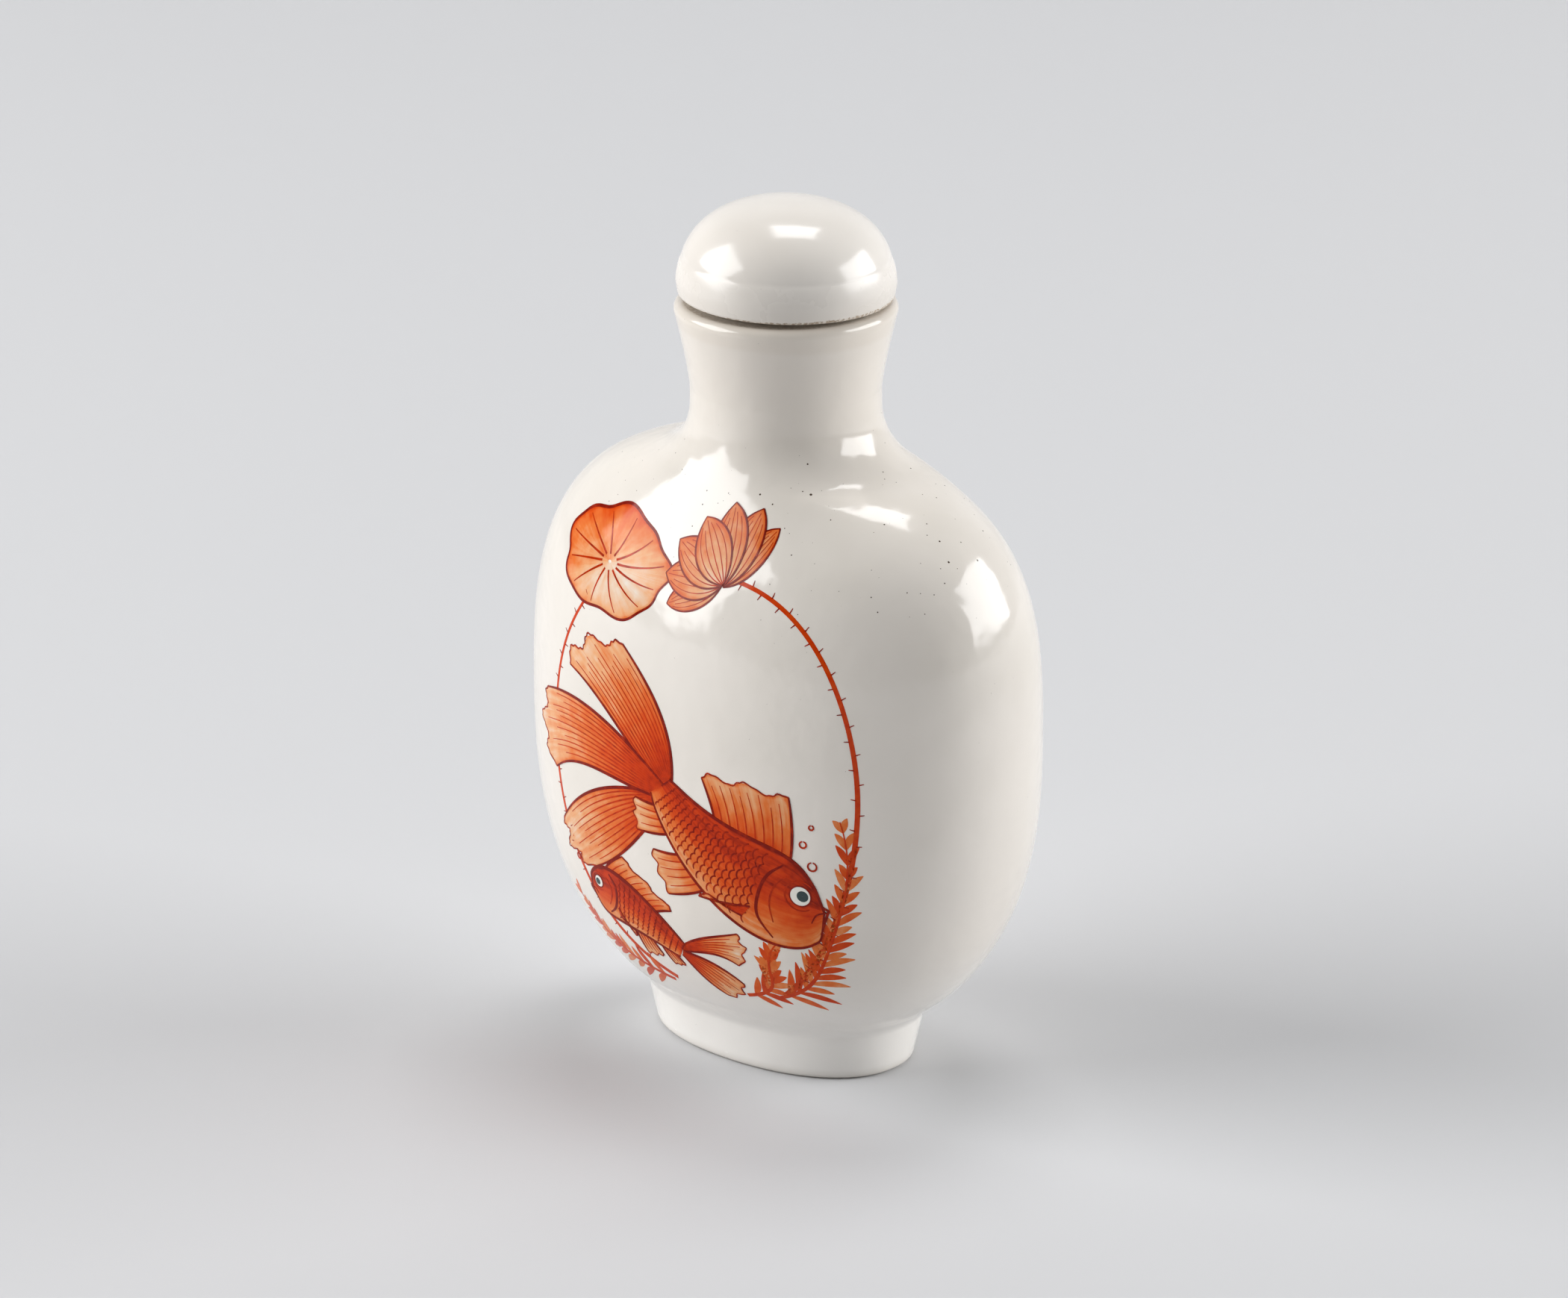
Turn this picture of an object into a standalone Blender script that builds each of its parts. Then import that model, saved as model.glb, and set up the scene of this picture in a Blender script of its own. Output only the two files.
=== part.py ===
"""A porcelain snuff bottle with a domed stopper, in four pieces.

The pieces are the bottle, the stopper's cap, the cork plug glued into the cap, and the spoon glued
into the cork. Metres, +Z up. The origin is at the middle of the foot, on the surface that the bottle
stands on. The broad faces look along -Y and +Y, and the narrow sides along -X and +X.
"""

import math

import bmesh
import bpy
from mathutils import Vector

MM = 0.001

# Body: two flattened arcs, one below and one above the widest level
BODY_WIDTH = 46.0 * MM
BODY_DEPTH = 30.4 * MM
WIDEST_LEVEL = 27.6 * MM
SHOULDER_RISE = 22.3 * MM
SECTION_POWER = 2.1
LOWER_SIDE_POWER = 2.31
LOWER_FACE_POWER = 2.73
UPPER_SIDE_POWER = 3.18
UPPER_FACE_POWER = 2.7

# Neck and lip. The root is the hollow curve that takes the shoulder up the neck.
NECK_ROOT_RISE = 4.0 * MM
NECK_ROOT_REACH = 3.8 * MM
NECK_WAIST_RISE = 5.1 * MM
NECK_WAIST_DIAMETER = 15.1 * MM
LIP_RISE = 7.0 * MM
LIP_DIAMETER = 17.95 * MM
LIP_FLARE_POWER = 1.25
LIP_ROUNDING = 1.1 * MM

# Foot
FOOT_WIDTH = 23.3 * MM
FOOT_DEPTH = 14.8 * MM
FOOT_POWER = 2.17
FOOT_HEIGHT = 4.5 * MM
FOOT_FLARE = 1.0 * MM
FOOT_BLEND = 1.15 * MM
FOOT_RIM_WIDTH = 2.4 * MM
FOOT_RIM_ROUNDING = 0.3 * MM
RECESS_DEPTH = 2.2 * MM
RECESS_FILLET = 0.8 * MM

# Inside of the bottle
BODY_WALL = 2.6 * MM
FLOOR_THICKNESS = 3.2 * MM
BORE_DIAMETER = 7.6 * MM
BORE_EDGE_ROUNDING = 0.6 * MM
BORE_BLEND = 2.4 * MM

# Stopper cap
CAP_DIAMETER = 17.55 * MM
CAP_HEIGHT = 7.7 * MM
CAP_SIDE_HEIGHT = 3.2 * MM
CAP_TAPER = 0.42 * MM
CAP_TUCK = 0.16 * MM
CAP_TUCK_HEIGHT = 0.8 * MM
CAP_DOME_START = 0.335
CAP_DOME_POWER = 2.36
CAP_EDGE_ROUNDING = 0.25 * MM
CAP_LIP_GAP = 0.3 * MM
SOCKET_DEPTH = 3.0 * MM

# Cork plug
CORK_BORE_GAP = 0.3 * MM
CORK_TAPER = 0.4 * MM
CORK_REACH = 8.5 * MM
CORK_EDGE_ROUNDING = 0.4 * MM
GLUE_GAP = 0.2 * MM
STEM_HOLE_DEPTH = 6.0 * MM

# Spoon
STEM_DIAMETER = 1.3 * MM
BOWL_LENGTH = 9.0 * MM
BOWL_WIDTH = 3.6 * MM
BOWL_DISH = 0.55 * MM
BOWL_WALL = 0.5 * MM
BOWL_OUTLINE_POWER = 2.2
BOWL_BLEND = 1.0 * MM
SPOON_FLOOR_CLEARANCE = 9.0 * MM

# Fineness of the meshes
OUTSIDE_RINGS = 46
BEND_WEIGHT = 6.0 * MM
BOTTLE_SEGMENTS = 48
CAP_SEGMENTS = 48
CORK_SEGMENTS = 32
SPOON_SEGMENTS = 16
QUARTER_STEPS = 4
SHARP_ANGLE = math.radians(40.0)

# Levels that follow from the sizes
SHOULDER_LEVEL = WIDEST_LEVEL + SHOULDER_RISE
NECK_ROOT_LEVEL = SHOULDER_LEVEL + NECK_ROOT_RISE
NECK_WAIST_LEVEL = SHOULDER_LEVEL + NECK_WAIST_RISE
LIP_LEVEL = NECK_WAIST_LEVEL + LIP_RISE
CAVITY_FLOOR_LEVEL = RECESS_DEPTH + FLOOR_THICKNESS
CAVITY_TOP_LEVEL = SHOULDER_LEVEL - BODY_WALL


def smooth_max(first, second, blend):
    """The larger of two values, rounded over where they come within the blend of each other."""
    overlap = max(blend - abs(first - second), 0.0) / blend
    return max(first, second) + overlap * overlap * blend / 4.0


def arc(share, power):
    """Height of a flattened quarter arc, 1 at share 0 and 0 at share 1."""
    share = min(max(share, 0.0), 1.0)
    return (1.0 - share**power) ** (1.0 / power)


def arc_share(height, power):
    """The share at which such an arc has this height."""
    return (1.0 - height**power) ** (1.0 / power)


def mix(first, second, share):
    return first + (second - first) * min(max(share, 0.0), 1.0)


def oval(level, half_width, half_depth, power, segments):
    """The corners of one level ring, an ellipse flattened by a power over 2."""
    ring = []
    for step in range(segments):
        turn = 2.0 * math.pi * step / segments
        east = math.copysign(abs(math.cos(turn)) ** (2.0 / power), math.cos(turn))
        north = math.copysign(abs(math.sin(turn)) ** (2.0 / power), math.sin(turn))
        ring.append((half_width * east, half_depth * north, level))
    return ring


def outer_oval(level):
    """Half width, half depth and power of the bottle's outside at a level."""
    foot = (FOOT_WIDTH / 2.0, FOOT_DEPTH / 2.0)
    body = (BODY_WIDTH / 2.0, BODY_DEPTH / 2.0)
    if level < WIDEST_LEVEL:
        sizes = []
        for size, foot_size, power in zip(body, foot, (LOWER_SIDE_POWER, LOWER_FACE_POWER)):
            depth = (WIDEST_LEVEL - FOOT_HEIGHT) / arc_share((foot_size + FOOT_FLARE) / size, power)
            body_size = size * arc((WIDEST_LEVEL - level) / depth, power)
            foot_here = foot_size + FOOT_FLARE * min(level / FOOT_HEIGHT, 1.0)
            sizes.append(smooth_max(body_size, foot_here, FOOT_BLEND))
        share = (sizes[0] - foot[0] - FOOT_FLARE) / (body[0] - foot[0])
        return sizes[0], sizes[1], mix(FOOT_POWER, SECTION_POWER, 3.0 * share)
    neck = neck_radius(level)
    if level > NECK_ROOT_LEVEL:
        return neck, neck, 2.0
    width = shoulder_size(level, body[0], UPPER_SIDE_POWER)
    depth = shoulder_size(level, body[1], UPPER_FACE_POWER)
    return width, depth, mix(2.0, SECTION_POWER, 2.0 * (width - neck) / body[0])


def shoulder_size(level, size, power):
    """How far the shoulder stands out at a level, found by halving, for its arc and the neck's root."""
    neck = NECK_WAIST_DIAMETER / 2.0
    rise = NECK_ROOT_LEVEL - WIDEST_LEVEL - SHOULDER_RISE * arc(neck / size, power)
    inner, outer = neck, size
    for step in range(36):
        middle = (inner + outer) / 2.0
        height = WIDEST_LEVEL + SHOULDER_RISE * arc(middle / size, power)
        left = max(1.0 - (middle - neck) / NECK_ROOT_REACH, 0.0)
        if height + rise * (1.0 - arc(left, 2.0)) > level:
            inner = middle
        else:
            outer = middle
    return outer


def neck_radius(level):
    """The neck's outer radius, straight up to the waist and flaring from there to the lip."""
    rise = min(max((level - NECK_WAIST_LEVEL) / LIP_RISE, 0.0), 1.0)
    return mix(NECK_WAIST_DIAMETER, LIP_DIAMETER, rise**LIP_FLARE_POWER) / 2.0


def cavity_oval(level):
    """Half width, half depth and power of the hollow inside the bottle at a level."""
    body = (BODY_WIDTH / 2.0 - BODY_WALL, BODY_DEPTH / 2.0 - BODY_WALL)
    if level < WIDEST_LEVEL:
        share = (WIDEST_LEVEL - level) / (WIDEST_LEVEL - CAVITY_FLOOR_LEVEL)
        width = body[0] * arc(share, LOWER_SIDE_POWER)
        depth = body[1] * arc(share, LOWER_FACE_POWER)
        return width, depth, SECTION_POWER
    bore = BORE_DIAMETER / 2.0
    share = (level - WIDEST_LEVEL) / (CAVITY_TOP_LEVEL - WIDEST_LEVEL)
    width = smooth_max(body[0] * arc(share, UPPER_SIDE_POWER), bore, BORE_BLEND)
    depth = smooth_max(body[1] * arc(share, UPPER_FACE_POWER), bore, BORE_BLEND)
    return width, depth, mix(2.0, SECTION_POWER, 2.0 * (width - bore) / body[0])


def quarter(steps):
    """Pairs of sine and cosine along a quarter turn, without its start."""
    turns = [math.pi / 2.0 * step / steps for step in range(1, steps + 1)]
    return [(math.sin(turn), math.cos(turn)) for turn in turns]


def outer_levels():
    """Levels from the foot's rim up to the lip, at steps that shorten where the outline bends."""
    top = LIP_LEVEL - LIP_ROUNDING
    fine = [mix(FOOT_RIM_ROUNDING, top, step / 1200) for step in range(1201)]
    points = [Vector((*outer_oval(level)[:2], level)) for level in fine]
    ways = [0.0]
    before = points[1] - points[0]
    for first, second in zip(points, points[1:]):
        step = second - first
        ways.append(ways[-1] + step.length + BEND_WEIGHT * step.angle(before))
        before = step
    levels = []
    for ring in range(OUTSIDE_RINGS - 1):
        goal = ways[-1] * ring / (OUTSIDE_RINGS - 1)
        levels.append(next(level for level, way in zip(fine, ways) if way >= goal))
    return levels + [top]


def outer_rings():
    """The outside of the bottle, from the rim of its foot up to the top of its lip."""
    rings = []
    for level in outer_levels():
        width, depth, power = outer_oval(level)
        rings.append(oval(level, width, depth, power, BOTTLE_SEGMENTS))
    for sine, cosine in quarter(QUARTER_STEPS):
        level = LIP_LEVEL - LIP_ROUNDING * (1.0 - sine)
        radius = neck_radius(level) - LIP_ROUNDING * (1.0 - cosine)
        rings.append(oval(level, radius, radius, 2.0, BOTTLE_SEGMENTS))
    return rings


def inner_rings():
    """The inside of the bottle, from the lip's inner edge down the bore to the cavity's floor."""
    bore = BORE_DIAMETER / 2.0
    rings = []
    for sine, cosine in [(0.0, 1.0)] + quarter(QUARTER_STEPS):
        level = LIP_LEVEL - BORE_EDGE_ROUNDING * (1.0 - cosine)
        radius = bore + BORE_EDGE_ROUNDING * (1.0 - sine)
        rings.append(oval(level, radius, radius, 2.0, BOTTLE_SEGMENTS))
    levels = [mix(LIP_LEVEL - BORE_EDGE_ROUNDING, CAVITY_TOP_LEVEL, step / 3) for step in range(1, 4)]
    rise = CAVITY_TOP_LEVEL - WIDEST_LEVEL
    levels += [WIDEST_LEVEL + rise * math.cos(math.pi / 2 * step / 10) for step in range(1, 11)]
    fall = WIDEST_LEVEL - CAVITY_FLOOR_LEVEL
    levels += [WIDEST_LEVEL - fall * math.sin(math.pi / 2 * step / 11) for step in range(1, 11)]
    for level in levels:
        width, depth, power = cavity_oval(level)
        rings.append(oval(level, width, depth, power, BOTTLE_SEGMENTS))
    return rings


def foot_rings():
    """The underside, from the middle of the recess out to the foot's rim."""
    outer = (FOOT_WIDTH / 2.0, FOOT_DEPTH / 2.0)
    inner = [size - FOOT_RIM_WIDTH for size in outer]
    rings = []
    for share in (0.35, 0.75):
        width, depth = [(size - RECESS_FILLET) * share for size in inner]
        rings.append(oval(RECESS_DEPTH, width, depth, FOOT_POWER, BOTTLE_SEGMENTS))
    for sine, cosine in [(0.0, 1.0)] + quarter(QUARTER_STEPS):
        width, depth = [size - RECESS_FILLET * (1.0 - sine) for size in inner]
        level = RECESS_DEPTH - RECESS_FILLET * (1.0 - cosine)
        rings.append(oval(level, width, depth, FOOT_POWER, BOTTLE_SEGMENTS))
    rim = FOOT_RIM_ROUNDING
    for level, inset in ((rim, 0.0), (0.0, rim)):
        width, depth = [size + inset for size in inner]
        rings.append(oval(level, width, depth, FOOT_POWER, BOTTLE_SEGMENTS))
    for level, inset in ((0.0, rim), (0.3 * rim, 0.3 * rim)):
        width, depth = [size + FOOT_FLARE * level / FOOT_HEIGHT - inset for size in outer]
        rings.append(oval(level, width, depth, FOOT_POWER, BOTTLE_SEGMENTS))
    return rings


def loft(name, rings, start, end):
    """A closed mesh through rings of equal counts, with a fan at each end to a point."""
    bm = bmesh.new()
    loops = [[bm.verts.new(corner) for corner in ring] for ring in rings]
    for lower, upper in zip(loops, loops[1:]):
        for step in range(len(lower)):
            after = (step + 1) % len(lower)
            bm.faces.new((lower[step], lower[after], upper[after], upper[step]))
    for loop, tip in ((loops[0], start), (loops[-1], end)):
        pole = bm.verts.new(tip)
        for step in range(len(loop)):
            bm.faces.new((loop[step], loop[(step + 1) % len(loop)], pole))
    bmesh.ops.recalc_face_normals(bm, faces=bm.faces)
    return finished_mesh(name, bm)


def turned(name, profile, segments):
    """A closed mesh turned about Z from a profile of radius and level that ends on the axis."""
    bm = bmesh.new()
    points = [bm.verts.new((radius, 0.0, level)) for radius, level in profile]
    edges = [bm.edges.new(pair) for pair in zip(points, points[1:])]
    bmesh.ops.spin(
        bm, geom=points + edges, cent=(0, 0, 0), axis=(0, 0, 1), angle=2 * math.pi, steps=segments
    )
    bmesh.ops.remove_doubles(bm, verts=bm.verts, dist=0.001 * MM)
    bmesh.ops.recalc_face_normals(bm, faces=bm.faces)
    return finished_mesh(name, bm)


def finished_mesh(name, bm):
    mesh = bpy.data.meshes.new(name)
    bm.to_mesh(mesh)
    bm.free()
    mesh.shade_smooth()
    mesh.set_sharp_from_angle(angle=SHARP_ANGLE)
    return mesh


def bottle_mesh():
    rings = foot_rings() + outer_rings() + inner_rings()
    return loft("bottle", rings, (0, 0, RECESS_DEPTH), (0, 0, CAVITY_FLOOR_LEVEL))


def cork_radius(level):
    """The cork's radius at a level counted from the lip: it narrows towards its lower end."""
    widest = BORE_DIAMETER / 2.0 - CORK_BORE_GAP
    return widest - CORK_TAPER * min(max(-level / CORK_REACH, 0.0), 1.0)


def cap_mesh():
    """The domed cap, with the socket that the cork is glued into. Levels count from the lip."""
    base = CAP_LIP_GAP
    radius = CAP_DIAMETER / 2.0
    socket = cork_radius(base) + GLUE_GAP
    edge = CAP_EDGE_ROUNDING
    profile = [(0.0, base + SOCKET_DEPTH), (socket, base + SOCKET_DEPTH), (socket, base)]
    foot_radius = radius - CAP_TUCK
    for sine, cosine in [(0.0, 1.0)] + quarter(QUARTER_STEPS):
        profile.append((foot_radius - edge * (1.0 - sine), base + edge * (1.0 - cosine)))
    for share in (0.2, 0.5, 1.0):
        rise = CAP_SIDE_HEIGHT * share
        tuck = CAP_TUCK * max(1.0 - rise / CAP_TUCK_HEIGHT, 0.0) ** 2
        profile.append((radius - CAP_TAPER * share - tuck, base + rise))
    dome_radius = (radius - CAP_TAPER) / arc(CAP_DOME_START, CAP_DOME_POWER)
    start = math.asin(CAP_DOME_START ** (CAP_DOME_POWER / 2.0))
    for step in range(1, 14):
        turn = mix(start, math.pi / 2.0, step / 14)
        share = (math.sin(turn) ** (2.0 / CAP_DOME_POWER) - CAP_DOME_START) / (1.0 - CAP_DOME_START)
        level = base + mix(CAP_SIDE_HEIGHT, CAP_HEIGHT, share)
        profile.append((dome_radius * math.cos(turn) ** (2.0 / CAP_DOME_POWER), level))
    profile.append((0.0, base + CAP_HEIGHT))
    return turned("stopper_cap", profile, CAP_SEGMENTS)


def cork_mesh():
    """The tapered plug, bored from below for the spoon's stem. Levels count from the lip."""
    top = CAP_LIP_GAP + SOCKET_DEPTH - GLUE_GAP
    edge = CORK_EDGE_ROUNDING
    hole = STEM_DIAMETER / 2.0 + GLUE_GAP
    hole_top = STEM_HOLE_DEPTH - CORK_REACH
    profile = [(0.0, hole_top), (hole, hole_top), (hole, -CORK_REACH)]
    foot_radius = cork_radius(-CORK_REACH)
    for sine, cosine in [(0.0, 1.0)] + quarter(QUARTER_STEPS):
        profile.append((foot_radius - edge * (1.0 - sine), -CORK_REACH + edge * (1.0 - cosine)))
    profile += [(cork_radius(-CORK_REACH / 2.0), -CORK_REACH / 2.0), (cork_radius(0.0), 0.0)]
    profile += [(cork_radius(top), top), (0.0, top)]
    return turned("cork_plug", profile, CORK_SEGMENTS)


def spoon_section(level, tip):
    """One ring of the spoon: a round stem that turns into a shallow bowl, open towards -Y."""
    stem = STEM_DIAMETER / 2.0
    along = (level - tip) / BOWL_LENGTH
    outline = BOWL_WIDTH / 2.0 * arc(abs(2.0 * along - 1.0), BOWL_OUTLINE_POWER)
    half_width = smooth_max(outline, stem, BOWL_BLEND) if along > 0.5 else outline
    hollow = math.sin(math.pi * along) ** 0.7 if 0.0 < along < 1.0 else 0.0
    front = mix(stem, -BOWL_DISH, hollow)
    back = mix(stem, BOWL_DISH + BOWL_WALL, hollow)
    if along < 0.5:
        front = -BOWL_DISH * hollow
        back = BOWL_DISH * hollow + BOWL_WALL
    ring = []
    for step in range(SPOON_SEGMENTS):
        turn = 2.0 * math.pi * step / SPOON_SEGMENTS
        reach = back if math.sin(turn) > 0.0 else front
        ring.append((half_width * math.cos(turn), reach * math.sin(turn), level))
    return ring


def spoon_mesh():
    """The spoon, from its tip up to the stem's end inside the cork. Levels count from the lip."""
    top = STEM_HOLE_DEPTH - CORK_REACH - GLUE_GAP
    tip = CAVITY_FLOOR_LEVEL + SPOON_FLOOR_CLEARANCE - LIP_LEVEL
    bowl_levels = [tip + BOWL_LENGTH * (1 - math.cos(math.pi * step / 16)) / 2 for step in range(1, 17)]
    stem_levels = [mix(tip + BOWL_LENGTH, top, step / 4) for step in range(1, 5)]
    rings = [spoon_section(level, tip) for level in bowl_levels + stem_levels]
    return loft("spoon", rings, (0, 0, tip), (0, 0, top))


def material(name, colour, roughness, sheen=0.0):
    made = bpy.data.materials.new(name)
    made.use_nodes = True
    shader = made.node_tree.nodes["Principled BSDF"]
    shader.inputs["Base Color"].default_value = (*colour, 1.0)
    shader.inputs["Roughness"].default_value = roughness
    shader.inputs["Metallic"].default_value = 0.0
    shader.inputs["Sheen Weight"].default_value = sheen
    made.diffuse_color = (*colour, 1.0)
    return made


def place(mesh, finish, parent=None):
    piece = bpy.data.objects.new(mesh.name, mesh)
    mesh.materials.append(finish)
    bpy.context.scene.collection.objects.link(piece)
    piece.parent = parent
    return piece


def clear_scene():
    for old in list(bpy.data.objects):
        bpy.data.objects.remove(old)


def build():
    clear_scene()
    glaze = material("white_glaze", (0.80, 0.78, 0.74), 0.12)
    cap_glaze = material("cap_glaze", (0.76, 0.75, 0.70), 0.12)
    cork = material("cork", (0.50, 0.32, 0.17), 0.85)
    bone = material("bone", (0.85, 0.79, 0.64), 0.35)
    place(bottle_mesh(), glaze)
    stopper = bpy.data.objects.new("stopper", None)
    stopper.location = (0.0, 0.0, LIP_LEVEL)
    bpy.context.scene.collection.objects.link(stopper)
    place(cap_mesh(), cap_glaze, stopper)
    place(cork_mesh(), cork, stopper)
    place(spoon_mesh(), bone, stopper)


build()
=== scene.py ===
import math

import bmesh
import bpy
from mathutils import Matrix, Quaternion, Vector


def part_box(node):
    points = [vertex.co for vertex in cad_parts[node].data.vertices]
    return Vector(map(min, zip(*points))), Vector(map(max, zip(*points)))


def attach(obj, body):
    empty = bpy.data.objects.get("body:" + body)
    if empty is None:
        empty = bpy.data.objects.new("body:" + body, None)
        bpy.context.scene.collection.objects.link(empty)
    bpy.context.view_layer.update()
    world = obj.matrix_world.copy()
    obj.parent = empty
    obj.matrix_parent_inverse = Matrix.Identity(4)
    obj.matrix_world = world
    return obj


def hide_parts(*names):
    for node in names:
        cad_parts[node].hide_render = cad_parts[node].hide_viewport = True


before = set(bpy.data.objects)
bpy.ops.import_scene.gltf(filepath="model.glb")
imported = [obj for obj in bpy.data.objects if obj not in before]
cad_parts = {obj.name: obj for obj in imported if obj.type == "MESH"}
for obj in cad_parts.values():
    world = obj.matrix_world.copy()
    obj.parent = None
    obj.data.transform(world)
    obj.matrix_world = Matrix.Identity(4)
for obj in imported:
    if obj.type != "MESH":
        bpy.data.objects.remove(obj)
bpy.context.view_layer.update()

MM = 0.001

# Sizes read from the frame. The body's faces keep a little room, in which the painting lies.
BOTTLE_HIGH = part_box("bottle")[1]
CAP_LOW, CAP_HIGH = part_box("stopper_cap")
CORK_LOW, CORK_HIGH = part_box("cork_plug")
SPOON_LOW, SPOON_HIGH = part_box("spoon")
PAINT_ROOM = 0.09 * MM
BODY = (BOTTLE_HIGH.x, BOTTLE_HIGH.y - PAINT_ROOM)
LIP_LEVEL = BOTTLE_HIGH.z

# Outside of the bottle
WIDEST_LEVEL = 27.6 * MM
SHOULDER_LEVEL = WIDEST_LEVEL + 22.3 * MM
NECK_ROOT_LEVEL = SHOULDER_LEVEL + 4.0 * MM
NECK_ROOT_REACH = 4.4 * MM
NECK_ROOT_POWER = 2.25
NECK_WAIST_LEVEL = SHOULDER_LEVEL + 5.1 * MM
NECK_WAIST_RADIUS = 7.54 * MM
LIP_RADIUS = 8.975 * MM
LIP_FLARE_POWER = 1.25
LIP_ROUNDING = 0.85 * MM
SECTION_POWER = 2.1
LOWER_POWERS = (2.31, 2.73)
UPPER_POWERS = (3.18, 2.7)
FOOT = (11.65 * MM, 7.4 * MM)
FOOT_POWER = 2.17
FOOT_HEIGHT = 4.5 * MM
FOOT_FLARE = 1.0 * MM
FOOT_BLEND = 1.15 * MM
FOOT_RIM_WIDTH = 2.4 * MM
FOOT_RIM_ROUNDING = 0.45 * MM
RECESS_DEPTH = 2.2 * MM
RECESS_FILLET = 0.8 * MM
OUTER_ROWS = 180
TRIAL_ROWS = 1600
BEND_WEIGHT = 6.0 * MM
HALVINGS = 36
BOTTLE_TURNS = 256

# Inside of the bottle
BODY_WALL = 2.6 * MM
CAVITY_FLOOR_LEVEL = 5.4 * MM
BORE_RADIUS = 3.8 * MM
BORE_EDGE_ROUNDING = 0.6 * MM
BORE_BLEND = 2.4 * MM

# Stopper
CAP_SIDE_HEIGHT = 3.2 * MM
CAP_TAPER = 0.45 * MM
CAP_TAPER_POWER = 2.9
CAP_TUCK = 0.16 * MM
CAP_TUCK_HEIGHT = 0.8 * MM
CAP_CREASE_DEPTH = 0.02 * MM
CAP_CREASE_WIDTH = 0.2 * MM
CAP_DOME_POWER = 2.36
CAP_DOME_START = 0.335
CAP_TILT = -1.1
CAP_TILT_ROOM = 0.01 * MM
CAP_EDGE_ROUNDING = 0.35 * MM
CAP_SEAT_ROOM = 0.12 * MM
SOCKET_DEPTH = 3.0 * MM
GLUE_GAP = 0.2 * MM
CORK_TAPER = 0.4 * MM
CORK_EDGE_ROUNDING = 0.4 * MM
CORK_STEM_HOLE = 6.0 * MM
STEM_RADIUS = 0.65 * MM
BOWL_LENGTH = 9.0 * MM
BOWL_DISH = 0.55 * MM
BOWL_WALL = 0.5 * MM
BOWL_OUTLINE_POWER = 2.2
BOWL_SWELL_POWER = 1.5
CAP_TURNS = 192
CORK_TURNS = 96
SPOON_TURNS = 48
CRISP_ANGLE = 0.7

# Painting. Its marks are sunk a little into the glaze, so that no gap shows under them.
CANVAS_SIZE = 64.0 * MM
CANVAS_LEVELS = (2.0 * MM, 53.0 * MM)
SINK = 0.02 * MM
STROKE_STEP = 0.16 * MM
MERGE_DISTANCE = 0.0005 * MM

# Glaze: where it stops short of the foot and of the cap's base, and where it starts to thin
# At the foot the darker bare clay also paints the shade where the foot meets the floor.
FOOT_BARE_HEIGHT = 0.12 * MM
FOOT_THIN_HEIGHT = 1.0 * MM
CAP_BARE_HEIGHT = 0.38 * MM

# The photograph's camera, fitted to the outline of the bottle
IMAGE_WIDTH = 2100
SENSOR_WIDTH = 36.0
CAMERA_AZIMUTH = 41.18
CAMERA_ELEVATION = 19.78
CAMERA_ROLL = 0.065
CAMERA_DISTANCE = 600.0 * MM
PIXELS_PER_MM = 16.883
AIM_LEVEL = 32.947 * MM
AIM_RIGHT = -0.128 * MM

# Studio. The softboxes are placed by where their images lie in the glaze. Each has its azimuth and
# elevation in degrees, its distance, width and height in metres, its power in watts and its lean.
STAGE_REACH = 3.0
BACKDROP_DISTANCE = 0.9
BACKDROP_HEIGHT = 1.0
STAGE_ROUGHNESS = 0.9
FLOOR_COLOUR = (0.600, 0.604, 0.617, 1.0)
BACKDROP_COLOUR = (0.63, 0.635, 0.65, 1.0)
ROOM_COLOUR = (0.84, 0.82, 0.80, 1.0)
ROOM_STRENGTH = 0.055
SOFTBOX_AIM = Vector((0.0, 0.0, 0.045))
SOFTBOXES = (
    ("left_softbox", -45.5, 27.0, 0.9, 0.74, 0.66, 9.6, -18.0),
    ("right_softbox", 132.0, 19.0, 0.9, 0.75, 0.49, 7.7, -3.0),
    ("top_softbox", 205.0, 69.5, 1.0, 0.42, 0.36, 3.3, 17.0),
)


def smooth_max(first, second, blend):
    """The larger of two values, rounded over where they come within the blend of each other."""
    overlap = max(blend - abs(first - second), 0.0) / blend
    return max(first, second) + overlap * overlap * blend / 4.0


def arc(share, power):
    """Height of a flattened quarter arc, 1 at share 0 and 0 at share 1."""
    share = min(max(share, 0.0), 1.0)
    return (1.0 - share**power) ** (1.0 / power)


def mix(first, second, share):
    """The value at a share of the way from the first to the second, which it never passes."""
    return first + (second - first) * min(max(share, 0.0), 1.0)


def quarter(steps):
    """Pairs of sine and cosine along a quarter turn, with its start."""
    turns = [math.pi / 2.0 * step / steps for step in range(steps + 1)]
    return [(math.sin(turn), math.cos(turn)) for turn in turns]


def way_to(azimuth, elevation):
    """The way from the bottle to a place around it. Azimuth 0 is in front of the painting, and 90 is
    to its right."""
    turn, lift = math.radians(azimuth), math.radians(elevation)
    return Vector((math.sin(turn) * math.cos(lift), -math.cos(turn) * math.cos(lift), math.sin(lift)))


def neck_radius(level):
    """Radius of the neck, which flares from its waist up to the lip."""
    rise = max((level - NECK_WAIST_LEVEL) / (LIP_LEVEL - NECK_WAIST_LEVEL), 0.0)
    return mix(NECK_WAIST_RADIUS, LIP_RADIUS, rise**LIP_FLARE_POWER)


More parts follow.
